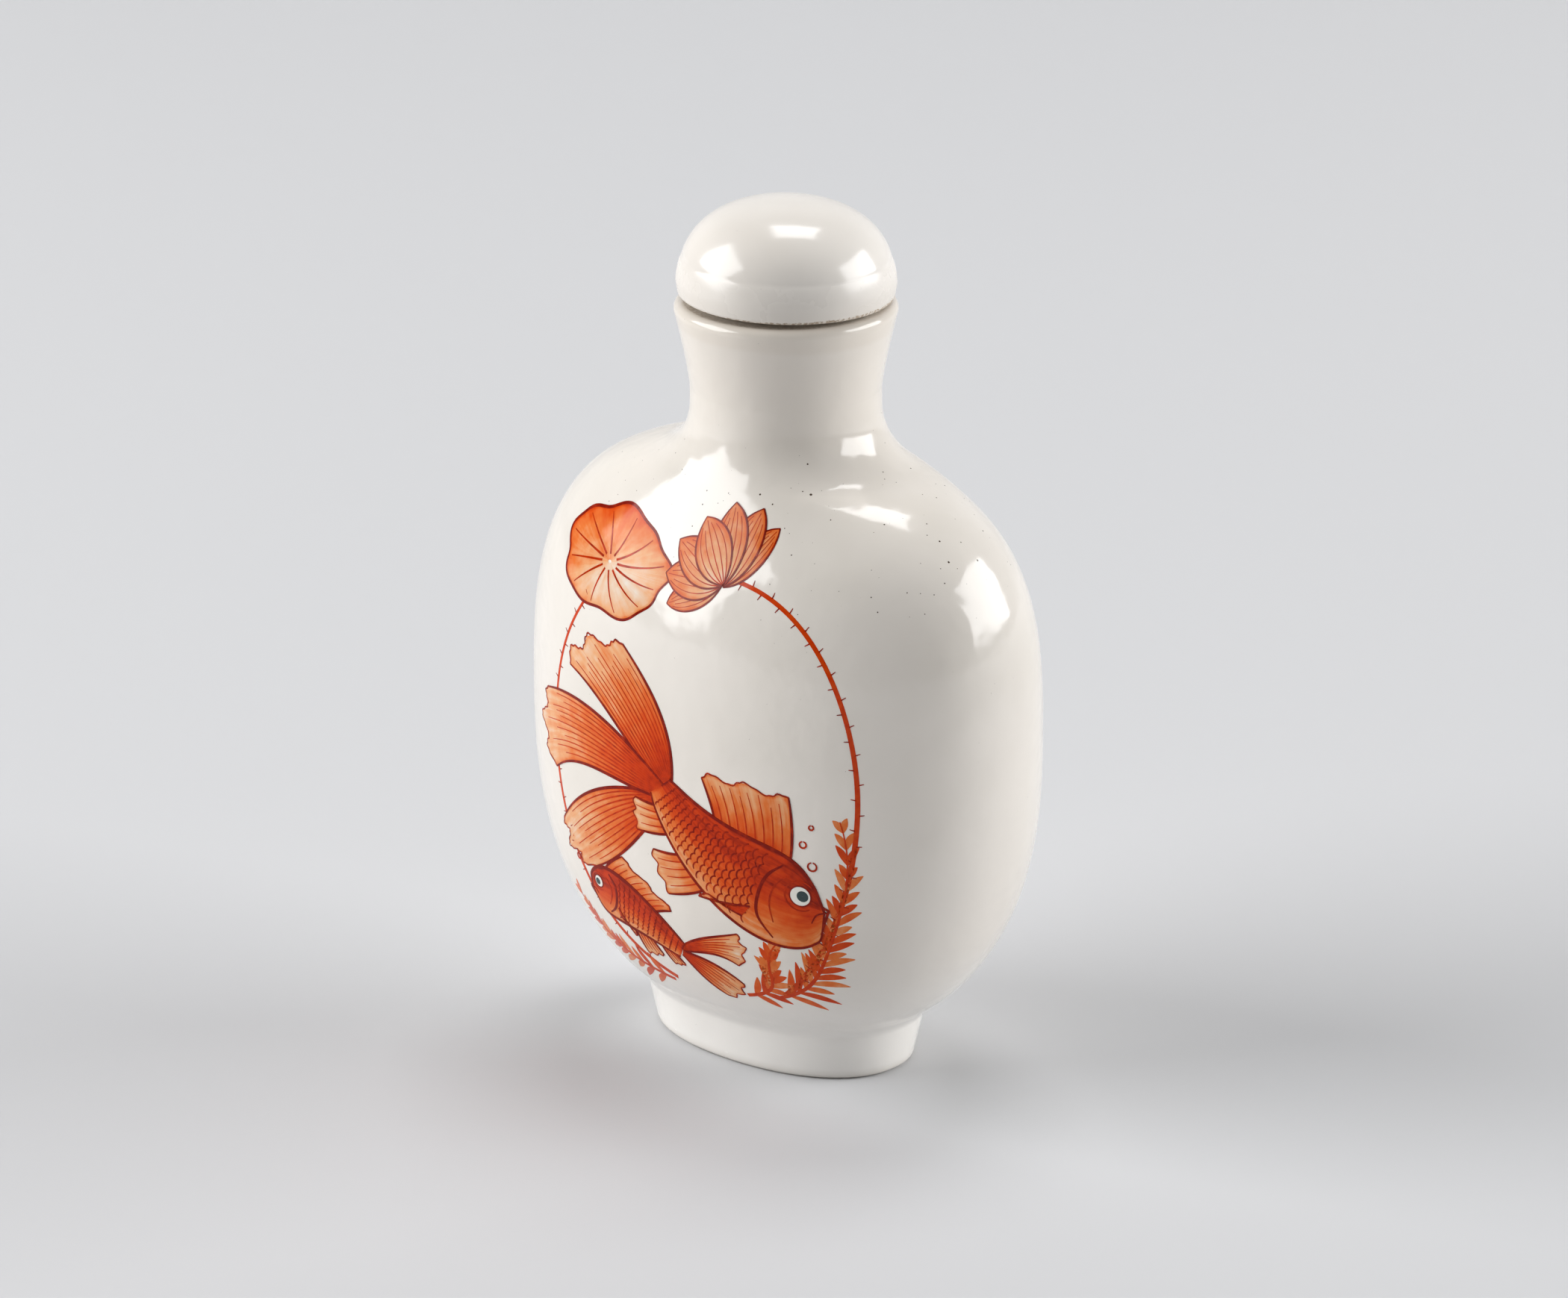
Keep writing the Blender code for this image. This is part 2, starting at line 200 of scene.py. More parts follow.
def shoulder_size(level, size, power):
    """How far the shoulder stands out at a level, with the hollow curve that takes it up the neck."""
    def height(out):
        """The level of the plain shoulder where it stands out this far."""
        return WIDEST_LEVEL + (SHOULDER_LEVEL - WIDEST_LEVEL) * arc(out / size, power)

    rise = NECK_ROOT_LEVEL - height(NECK_WAIST_RADIUS)
    inner, outer = NECK_WAIST_RADIUS, size
    for _ in range(HALVINGS):
        middle = (inner + outer) / 2.0
        left = max(1.0 - (middle - NECK_WAIST_RADIUS) / NECK_ROOT_REACH, 0.0)
        if height(middle) + rise * (1.0 - arc(left, NECK_ROOT_POWER)) > level:
            inner = middle
        else:
            outer = middle
    return outer


def outer_oval(level):
    """Half width, half depth and power of the bottle's outside at a level."""
    if level < WIDEST_LEVEL:
        sizes = []
        for size, foot_size, power in zip(BODY, FOOT, LOWER_POWERS):
            foot_top = foot_size + FOOT_FLARE
            closing = (1.0 - (foot_top / size) ** power) ** (1.0 / power)
            share = (WIDEST_LEVEL - level) / (WIDEST_LEVEL - FOOT_HEIGHT) * closing
            foot_here = mix(foot_size, foot_top, level / FOOT_HEIGHT)
            sizes.append(smooth_max(size * arc(share, power), foot_here, FOOT_BLEND))
        share = (sizes[0] - FOOT[0] - FOOT_FLARE) / (BODY[0] - FOOT[0])
        return sizes[0], sizes[1], mix(FOOT_POWER, SECTION_POWER, 3.0 * share)
    neck = neck_radius(level)
    if level > NECK_ROOT_LEVEL:
        return neck, neck, 2.0
    width, depth = [shoulder_size(level, size, power) for size, power in zip(BODY, UPPER_POWERS)]
    return width, depth, mix(2.0, SECTION_POWER, 2.0 * (width - neck) / BODY[0])


def cavity_oval(level):
    """Half width, half depth and power of the hollow inside the bottle at a level."""
    hollow = [size - BODY_WALL for size in BODY]
    if level < WIDEST_LEVEL:
        share = (WIDEST_LEVEL - level) / (WIDEST_LEVEL - CAVITY_FLOOR_LEVEL)
        width, depth = [size * arc(share, power) for size, power in zip(hollow, LOWER_POWERS)]
        return width, depth, SECTION_POWER
    share = (level - WIDEST_LEVEL) / (SHOULDER_LEVEL - BODY_WALL - WIDEST_LEVEL)
    width, depth = [
        smooth_max(size * arc(share, power), BORE_RADIUS, BORE_BLEND)
        for size, power in zip(hollow, UPPER_POWERS)
    ]
    return width, depth, mix(2.0, SECTION_POWER, 2.0 * (width - BORE_RADIUS) / BODY[0])


def outer_levels(count):
    """Levels up the glazed outside, at steps that shorten where its outline bends."""
    neck_top = LIP_LEVEL - LIP_ROUNDING
    trials = range(TRIAL_ROWS + 1)
    fine = [mix(FOOT_RIM_ROUNDING, neck_top, step / TRIAL_ROWS) for step in trials]
    sizes = [Vector((*outer_oval(level)[:2], level)) for level in fine]
    ways, last_way, direction = [0.0], 0.0, None
    for first, second in zip(sizes, sizes[1:]):
        step = second - first
        bend = step.angle(direction) if direction else 0.0
        direction = step
        last_way += step.length + bend * BEND_WEIGHT
        ways.append(last_way)
    levels, place = [], 0
    for step in range(count):
        goal = last_way * step / (count - 1)
        while place < len(ways) - 2 and ways[place + 1] < goal:
            place += 1
        share = (goal - ways[place]) / (ways[place + 1] - ways[place])
        levels.append(mix(fine[place], fine[place + 1], share))
    return levels


def bottle_profile():
    """Rows of level, half width, reach to the front, reach to the back and power. They run from the
    middle of the recess under the foot, over the outside and the lip, to the middle of the floor."""
    rows = [(RECESS_DEPTH, 0.0, 0.0, FOOT_POWER)]
    inner = [size - FOOT_RIM_WIDTH for size in FOOT]
    for share in (0.3, 0.6, 0.85):
        width, depth = [(size - RECESS_FILLET) * share for size in inner]
        rows.append((RECESS_DEPTH, width, depth, FOOT_POWER))
    for sine, cosine in quarter(8):
        width, depth = [size - RECESS_FILLET * (1.0 - sine) for size in inner]
        rows.append((RECESS_DEPTH - RECESS_FILLET * (1.0 - cosine), width, depth, FOOT_POWER))
    rim = FOOT_RIM_ROUNDING
    for sine, cosine in quarter(4):
        width, depth = [size + rim * (1.0 - cosine) for size in inner]
        rows.append((rim * (1.0 - sine), width, depth, FOOT_POWER))
    for sine, cosine in quarter(4)[:-1]:
        level = rim * (1.0 - cosine)
        width, depth = [size + FOOT_FLARE * level / FOOT_HEIGHT - rim * (1.0 - sine) for size in FOOT]
        rows.append((level, width, depth, FOOT_POWER))
    rows += [(level, *outer_oval(level)) for level in outer_levels(OUTER_ROWS)]
    for sine, cosine in quarter(10)[1:]:
        level = LIP_LEVEL - LIP_ROUNDING * (1.0 - sine)
        radius = neck_radius(level) - LIP_ROUNDING * (1.0 - cosine)
        rows.append((level, radius, radius, 2.0))
    for sine, cosine in quarter(6):
        radius = BORE_RADIUS + BORE_EDGE_ROUNDING * (1.0 - sine)
        rows.append((LIP_LEVEL - BORE_EDGE_ROUNDING * (1.0 - cosine), radius, radius, 2.0))
    top = SHOULDER_LEVEL - BODY_WALL
    levels = [mix(LIP_LEVEL - BORE_EDGE_ROUNDING, top, step / 6) for step in range(1, 7)]
    rise = top - WIDEST_LEVEL
    levels += [WIDEST_LEVEL + rise * math.cos(math.pi / 2 * step / 20) for step in range(1, 21)]
    fall = WIDEST_LEVEL - CAVITY_FLOOR_LEVEL
    levels += [WIDEST_LEVEL - fall * math.sin(math.pi / 2 * step / 20) for step in range(1, 21)]
    rows += [(level, *cavity_oval(level)) for level in levels]
    return [(level, width, depth, depth, power) for level, width, depth, power in rows]


def rounded_base(level, radius, edge):
    """Pairs of level and radius round the lower edge of a round piece."""
    turns = quarter(6)
    return [(level + edge * (1.0 - cosine), radius - edge * (1.0 - sine)) for sine, cosine in turns]


def cap_profile():
    """Rows of the stopper's cap, from the middle of its socket, round its base and over its dome. A
    faint crease runs round it where the side ends and the dome starts."""
    base = CAP_LOW.z + CAP_SEAT_ROOM
    radius = CAP_HIGH.x
    socket = CORK_HIGH.x + GLUE_GAP
    points = [(base + SOCKET_DEPTH, 0.0), (base + SOCKET_DEPTH, socket), (base, socket)]
    points += rounded_base(base, radius - CAP_TUCK, CAP_EDGE_ROUNDING)
    side_top = CAP_LOW.z + CAP_SIDE_HEIGHT
    for step in range(1, 13):
        level = mix(base + CAP_EDGE_ROUNDING, side_top, math.sqrt(step / 12))
        up = (level - base) / (side_top - base)
        tuck = max(1.0 - (level - base) / CAP_TUCK_HEIGHT, 0.0)
        points.append((level, radius - CAP_TAPER * up**CAP_TAPER_POWER - CAP_TUCK * tuck**2))
    dome_radius = (radius - CAP_TAPER) / arc(CAP_DOME_START, CAP_DOME_POWER)
    start = math.asin(CAP_DOME_START ** (CAP_DOME_POWER / 2.0))
    for step in range(1, 65):
        turn = mix(start, math.pi / 2.0, step / 64)
        rise = (math.sin(turn) ** (2.0 / CAP_DOME_POWER) - CAP_DOME_START) / (1.0 - CAP_DOME_START)
        reach = dome_radius * max(math.cos(turn), 0.0) ** (2.0 / CAP_DOME_POWER)
        points.append((mix(side_top, CAP_HIGH.z - CAP_TILT_ROOM, rise), reach))
    creased = []
    for level, reach in points:
        outside = reach > socket * 1.5
        near = math.exp(-((level - side_top) / CAP_CREASE_WIDTH) ** 2) if outside else 0.0
        creased.append((level, reach - CAP_CREASE_DEPTH * near))
    creased[-1] = (CAP_HIGH.z - CAP_TILT_ROOM, 0.0)
    return round_rows(creased)


def cork_profile():
    """Rows of the cork plug, from the end of the stem's hole, round its foot and up to its top."""
    low, radius = CORK_LOW.z, CORK_HIGH.x
    hole = STEM_RADIUS + GLUE_GAP
    foot_radius = radius - CORK_TAPER
    points = [(low + CORK_STEM_HOLE, 0.0), (low + CORK_STEM_HOLE, hole), (low, hole)]
    points += rounded_base(low, foot_radius, CORK_EDGE_ROUNDING)
    for step in range(2, 13):
        points.append((mix(low, LIP_LEVEL, step / 12), mix(foot_radius, radius, step / 12)))
    points += [(CORK_HIGH.z, radius), (CORK_HIGH.z, 0.0)]
    return round_rows(points)


def round_rows(points):
    """Rows of a round piece from pairs of level and radius."""
    return [(level, radius, radius, radius, 2.0) for level, radius in points]


def spoon_profile():
    """Rows of the spoon, from the tip of its bowl, which opens to the front, up its round stem."""
    tip, top = SPOON_LOW.z, SPOON_HIGH.z
    turns = [math.pi * step / 48 for step in range(1, 49)]
    levels = [tip + BOWL_LENGTH * (1.0 - math.cos(turn)) / 2.0 for turn in turns]
    levels += [mix(tip + BOWL_LENGTH, top, step / 10) for step in range(1, 11)]
    rows = [(tip, 0.0, 0.0, 0.0, 2.0)]
    for level in levels:
        along = min((level - tip) / BOWL_LENGTH, 1.0)
        outline = SPOON_HIGH.x * arc(abs(2.0 * along - 1.0), BOWL_OUTLINE_POWER)
        hollow = math.sin(math.pi * min(along, 0.5)) ** 0.7
        front = -BOWL_DISH * hollow
        back = BOWL_DISH * hollow + BOWL_WALL
        if along > 0.5:
            swell = 0.5 + 0.5 * math.cos(math.pi * (2.0 * along - 1.0) ** BOWL_SWELL_POWER)
            outline = mix(STEM_RADIUS, SPOON_HIGH.x, swell)
            front = mix(STEM_RADIUS, -BOWL_DISH, swell)
            back = mix(STEM_RADIUS, BOWL_DISH + BOWL_WALL, swell)
        rows.append((level, outline, front, back, 2.0))
    return rows + [(top, 0.0, 0.0, 0.0, 2.0)]


# Node trees

def add(tree, kind, inputs=None, **settings):
    """A new node with these settings. An input is a number, a colour or a socket to link from."""
    node = tree.nodes.new(kind)
    for name, value in settings.items():
        setattr(node, name, value)
    for name, value in (inputs or {}).items():
        if isinstance(value, bpy.types.NodeSocket):
            tree.links.new(value, node.inputs[name])
        else:
            node.inputs[name].default_value = value
    return node


class Number:
    """A number socket to reckon with. Each step adds a Math node to its tree."""

    def __init__(self, tree, socket):
        self.tree = tree
        self.socket = socket

    def step(self, operation, *others):
        """The result of a Math node on this number and the others, which may be plain numbers."""
        values = [value.socket if isinstance(value, Number) else value for value in (self, *others)]
        node = add(self.tree, "ShaderNodeMath", dict(enumerate(values)), operation=operation)
        return Number(self.tree, node.outputs[0])

    def __add__(self, other):
        return self.step("ADD", other)

    def __sub__(self, other):
        return self.step("SUBTRACT", other)

    def __mul__(self, other):
        return self.step("MULTIPLY", other)

    def __truediv__(self, other):
        return self.step("DIVIDE", other)

    def __pow__(self, other):
        return self.step("POWER", other)

    def above(self, limit):
        """1 where the number is above the limit, and 0 elsewhere."""
        return self.step("GREATER_THAN", limit)

    def smooth(self, first, second):
        """0 up to the first level and 1 past the second, whichever is higher, with a soft step."""
        node = add(self.tree, "ShaderNodeMapRange", {
            "Value": self.socket, "From Min": first, "From Max": second,
        }, interpolation_type="SMOOTHSTEP")
        return Number(self.tree, node.outputs["Result"])


def geometry_tree(name, sizes):
    """An empty Geometry Nodes tree with a geometry input, named size inputs and a geometry output."""
    tree = bpy.data.node_groups.new(name, "GeometryNodeTree")
    tree.interface.new_socket("Geometry", in_out="INPUT", socket_type="NodeSocketGeometry")
    for label, kind in sizes.items():
        tree.interface.new_socket(label, in_out="INPUT", socket_type="NodeSocket" + kind)
    tree.interface.new_socket("Geometry", in_out="OUTPUT", socket_type="NodeSocketGeometry")
    return tree, tree.nodes.new("NodeGroupInput").outputs


def finish_tree(tree, geometry, finish):
    """Ends a tree in Realize Instances and Set Material."""
    plain = add(tree, "GeometryNodeRealizeInstances", {"Geometry": geometry})
    painted = add(tree, "GeometryNodeSetMaterial", {"Geometry": plain.outputs[0], "Material": finish})
    tree.links.new(painted.outputs[0], tree.nodes.new("NodeGroupOutput").inputs[0])


def value_at(tree, label, kind="FLOAT"):
    """What a mesh holds under a label, as a socket."""
    return add(tree, "GeometryNodeInputNamedAttribute", {"Name": label}, data_type=kind).outputs[0]


def split(tree, socket):
    """The three numbers in a vector socket."""
    return [Number(tree, part) for part in add(tree, "ShaderNodeSeparateXYZ", {0: socket}).outputs]


def combined(tree, *numbers):
    """A vector socket from two or three numbers."""
    inputs = {place: number.socket for place, number in enumerate(numbers)}
    return add(tree, "ShaderNodeCombineXYZ", inputs).outputs[0]


def vector_step(tree, operation, inputs):
    """The result of a Vector Math node."""
    return add(tree, "ShaderNodeVectorMath", inputs, operation=operation).outputs[0]


def merged(tree, geometry, distance):
    """Joins the points that lie within a distance of each other."""
    node = add(tree, "GeometryNodeMergeByDistance", {"Geometry": geometry, "Distance": distance})
    return node.outputs[0]


def with_crisp_corners(tree, geometry):
    """Smooth shading that stops at steep corners."""
    smooth = add(tree, "GeometryNodeSetShadeSmooth", {"Geometry": geometry}, domain="FACE")
    steep = Number(tree, add(tree, "GeometryNodeInputMeshEdgeAngle").outputs[0]).above(CRISP_ANGLE)
    crisp = add(tree, "GeometryNodeSetShadeSmooth", {
        "Geometry": smooth.outputs[0], "Selection": steep.socket, "Shade Smooth": False,
    }, domain="EDGE")
    return crisp.outputs[0]


def placed(name, data):
    """A new object in the scene."""
    made = bpy.data.objects.new(name, data)
    bpy.context.scene.collection.objects.link(made)
    return made


def evaluated_piece(name, source, tree, sizes):
    """Runs a tree on a source mesh and keeps its result as a plain mesh object at the origin."""
    carrier = placed(name + "_source", source)
    modifier = carrier.modifiers.new("shape", "NODES")
    modifier.node_group = tree
    for item in tree.interface.items_tree:
        if item.in_out == "INPUT" and item.name in sizes:
            modifier[item.identifier] = sizes[item.name]
    bpy.context.view_layer.update()
    graph = bpy.context.evaluated_depsgraph_get()
    mesh = bpy.data.meshes.new_from_object(carrier.evaluated_get(graph), depsgraph=graph)
    carrier.modifiers.remove(modifier)
    bpy.data.objects.remove(carrier)
    bpy.data.meshes.remove(source)
    mesh.name = name
    return placed(name, mesh)


def face_outwards(piece):
    """Turns every face of a closed piece to its outside."""
    bm = bmesh.new()
    bm.from_mesh(piece.data)
    bmesh.ops.recalc_face_normals(bm, faces=bm.faces)
    bm.to_mesh(piece.data)
    bm.free()
    return piece


def tilt(mesh, degrees, level):
    """Leans a mesh sideways, as the camera sees it, about the middle line at a level."""
    middle = Matrix.Translation((0.0, 0.0, level))
    lean = Matrix.Rotation(math.radians(degrees), 4, way_to(CAMERA_AZIMUTH, 0.0))
    mesh.transform(middle @ lean @ middle.inverted())


def new_mesh(name, points, edges, faces, labels=(), values=()):
    """A mesh that can hold a row of numbers at each point, under these labels."""
    mesh = bpy.data.meshes.new(name)
    mesh.from_pydata(points, edges, faces)
    for label, column in zip(labels, zip(*values)):
        mesh.attributes.new(label, "FLOAT", "POINT").data.foreach_set("value", column)
    return mesh


ROW_SIZES = ("half_width", "front", "back", "power")


def row_mesh(rows):
    """A line of points, one for each ring of a turned or lofted piece, that hold the ring's sizes."""
    points = [(0.0, 0.0, row[0]) for row in rows]
    edges = [(index, index + 1) for index in range(len(rows) - 1)]
    return new_mesh("rows", points, edges, [], ROW_SIZES, [row[1:] for row in rows])


def loft_tree(finish):
    """A tree that turns each row into an oval ring and joins the rings into one closed skin."""
    tree, given = geometry_tree("rings into a skin", {"Turns": "Int"})
    rows = given["Geometry"]
    count = add(tree, "GeometryNodeAttributeDomainSize", {"Geometry": rows}, component="MESH")
    columns = add(tree, "ShaderNodeMath", {0: given["Turns"], 1: 1.0}, operation="ADD")
    grid = add(tree, "GeometryNodeMeshGrid", {
        "Size X": 1.0, "Size Y": 1.0, "Vertices X": columns.outputs[0],
        "Vertices Y": count.outputs["Point Count"],
    })
    across, up, height = split(tree, add(tree, "GeometryNodeInputPosition").outputs[0])
    turn = (across + 0.5) * (2.0 * math.pi)
    last = Number(tree, count.outputs["Point Count"]) - 1.0
    row = ((up + 0.5) * last).step("ROUND")

    def row_size(socket):
        """What the row of this ring holds."""
        found = add(tree, "GeometryNodeSampleIndex", {
            "Geometry": rows, "Index": row.socket, "Value": socket,
        })
        return Number(tree, found.outputs[0])

    level = row_size(height.socket)
    half_width, front, back, power = [row_size(value_at(tree, label)) for label in ROW_SIZES]

    def flattened(wave):
        """A sine or cosine, filled out to the ring's power."""
        return wave.step("ABSOLUTE") ** (power.step("POWER", -1.0) * 2.0) * wave.step("SIGN")

    east = flattened(turn.step("COSINE")) * half_width
    sine = turn.step("SINE")
    reach = front + (back - front) * sine.above(0.0)
    north = flattened(sine) * reach
    shaped = add(tree, "GeometryNodeSetPosition", {
        "Geometry": grid.outputs["Mesh"], "Position": combined(tree, east, north, level),
    })
    closed = merged(tree, shaped.outputs[0], 2.0 * MERGE_DISTANCE)
    finish_tree(tree, with_crisp_corners(tree, closed), finish)
    return tree


def lofted(name, rows, turns, finish):
    """A closed piece through these rows, with this many corners to a ring."""
    piece = evaluated_piece(name, row_mesh(rows), loft_tree(finish), {"Turns": turns})
    return face_outwards(piece)


# The painting on the front, drawn on a flat canvas and then laid on the glaze

def bezier(points, share):
    """The point at a share of the way along the curve that these points pull."""
    points = [Vector(point) for point in points]
    while len(points) > 1:
        points = [first.lerp(second, share) for first, second in zip(points, points[1:])]
    return points[0]


def turned_by(direction, degrees):
    """A direction on the canvas turned to the left."""
    turn = math.radians(degrees)
    return Vector((
        direction.x * math.cos(turn) - direction.y * math.sin(turn),
        direction.x * math.sin(turn) + direction.y * math.cos(turn),
    ))


# In millimetres, as everything on the canvas
NARROWEST_STROKE = 0.03
WIDEST_EDGE = 0.9
FISH_SCALE_LENGTH = 0.858
FISH_SCALE_ROWS = 7


class Canvas:
    """Brush marks in millimetres, right of the face's middle line and above the table. A stroke is a
    row of points with half widths. A wash is a patch of colour between two edges. Tone is how much
    iron red the brush carried, and lift is how far the mark stands on the glaze."""

    def __init__(self):
        self.strokes = []
        self.washes = []
        self.eyes = []

    def stroke(self, points, widths, tone, lift):
        """Widths are the half widths at the start, the middle and the end."""
        start, middle, end = widths
        marks = []
        for index, point in enumerate(points):
            share = index / (len(points) - 1)
            left = 1.0 - share
            width = start * left**2 + end * share**2 + (4.0 * middle - start - end) * share * left
            marks.append((point[0], point[1], max(width, NARROWEST_STROKE), tone, lift))
        self.strokes.append(marks)

    def curve(self, points, widths, tone, lift, steps):
        """A stroke along the curve that these points pull."""
        self.stroke([bezier(points, step / steps) for step in range(steps + 1)], widths, tone, lift)

    def arc_line(self, centre, radius, start, end, widths, tone, lift, steps):
        """A stroke along a circle, from one angle in degrees to another."""
        turns = [math.radians(mix(start, end, step / steps)) for step in range(steps + 1)]
        ways = [Vector((math.cos(turn), math.sin(turn))) for turn in turns]
        self.stroke([Vector(centre) + way * radius for way in ways], widths, tone, lift)

    def wash(self, place, tone, lift, length, width, along=26, across=12, closed=False, target=None):
        """Place gives the point at shares along and across, and tone gives the colour there. A closed
        wash goes all round its middle, so only its outer end is an edge."""
        rows = []
        for step in range(along + 1):
            row = []
            for side in range(across + 1):
                far, wide = step / along, side / across
                point = place(far, wide)
                sides = WIDEST_EDGE if closed else min(wide, 1.0 - wide) * width
                edge = min(sides, (1.0 - far) * length, WIDEST_EDGE)
                brush = (wide * width, far * length)
                row.append((point[0], point[1], tone(far, wide), edge, lift, *brush))
            rows.append(row)
        (self.washes if target is None else target).append(rows)

    def fin(self, leading, trailing, rays, tones, lift, bulge, scallop, line):
        """A fin, or a petal, between two curved edges, with fine rays that run to its ragged tip."""
        def place(far, wide):
            """The point at a share of the way to the tip, and a share of the way across."""
            point = bezier(leading, far).lerp(bezier(trailing, far), wide)
            way = bezier(leading, 1.0).lerp(bezier(trailing, 1.0), 0.5) - Vector(leading[0])
            notches = math.sin(math.pi * rays * wide) ** 2
            waves = math.sin(5.0 * math.pi * wide + 0.7) - 0.4 * notches
            return point + way * ((bulge * 4.0 * wide * (1.0 - wide) + scallop * waves) * far**3)

        length = (Vector(leading[-1]) - Vector(leading[0])).length
        width = max((Vector(leading[-1]) - Vector(trailing[-1])).length, length * 0.3)
        root, tip = tones

        def tone(far, wide):
            """From the root's tone to the tip's, with a ripple along the rays."""
            ripple = 0.05 * math.sin(2.0 * math.pi * rays * wide)
            return mix(root, tip, far**0.8) + ripple

        self.wash(place, tone, lift, length, width)
        for ray in range(rays + 1):
            wide = ray / rays
            outer = ray in (0, rays)
            reach = 1.0 if outer else 0.93 - 0.06 * (ray % 3)
            points = [place(reach * step / 10, wide) for step in range(11)]
            shares = (1.0, 1.3, 0.7) if outer else (0.8, 0.65, 0.3)
            widths = [line * share for share in shares]
            self.stroke(points, widths, 1.0 if outer else 0.86, lift + 0.010)
        rim = [place(1.0, step / (4 * rays)) for step in range(4 * rays + 1)]
        self.stroke(rim, (line * 0.8, line * 0.6, line * 0.8), 0.95, lift + 0.011)

    def bubble(self, centre, radius):
        """A thin ring that stays open by a small gap."""
        self.arc_line(centre, radius, 100, 440, (0.05, 0.075, 0.05), 0.9, 0.036, 10)

    def eye(self, centre, radius, look, lift):
        """An eye as a white disc with a dark pupil, ringed by the brush."""
        discs = ((radius, 0.0, 0.012, 0.0), (radius * 0.55, 1.0, 0.022, 0.22))
        for size, tone, height, shift in discs:
            middle = Vector(centre) + look * (radius * shift)

            def place(far, wide, middle=middle, size=size):
                """The point at a share of the way out, and a share of the way round."""
                turn = 2.0 * math.pi * wide
                way = Vector((math.cos(turn), math.sin(turn)))
                return middle + way * (size * mix(0.02, 1.0, far))

            def even_tone(far, wide, tone=tone):
                """The same tone all over the disc."""
                return tone

            self.wash(place, even_tone, lift + height, size, 1.0, 4, 24, True, self.eyes)
        self.arc_line(centre, radius * 1.02, 0, 360, (0.06, 0.06, 0.06), 1.0, lift + 0.016, 20)
        self.arc_line(centre, radius * 1.5, 40, 300, (0.05, 0.07, 0.04), 0.9, lift + 0.014, 16)


def way_along(points, share):
    """The direction of a curve at a share of the way along it."""
    ahead = bezier(points, min(share + 0.02, 1.0))
    return (ahead - bezier(points, max(share - 0.02, 0.0))).normalized()


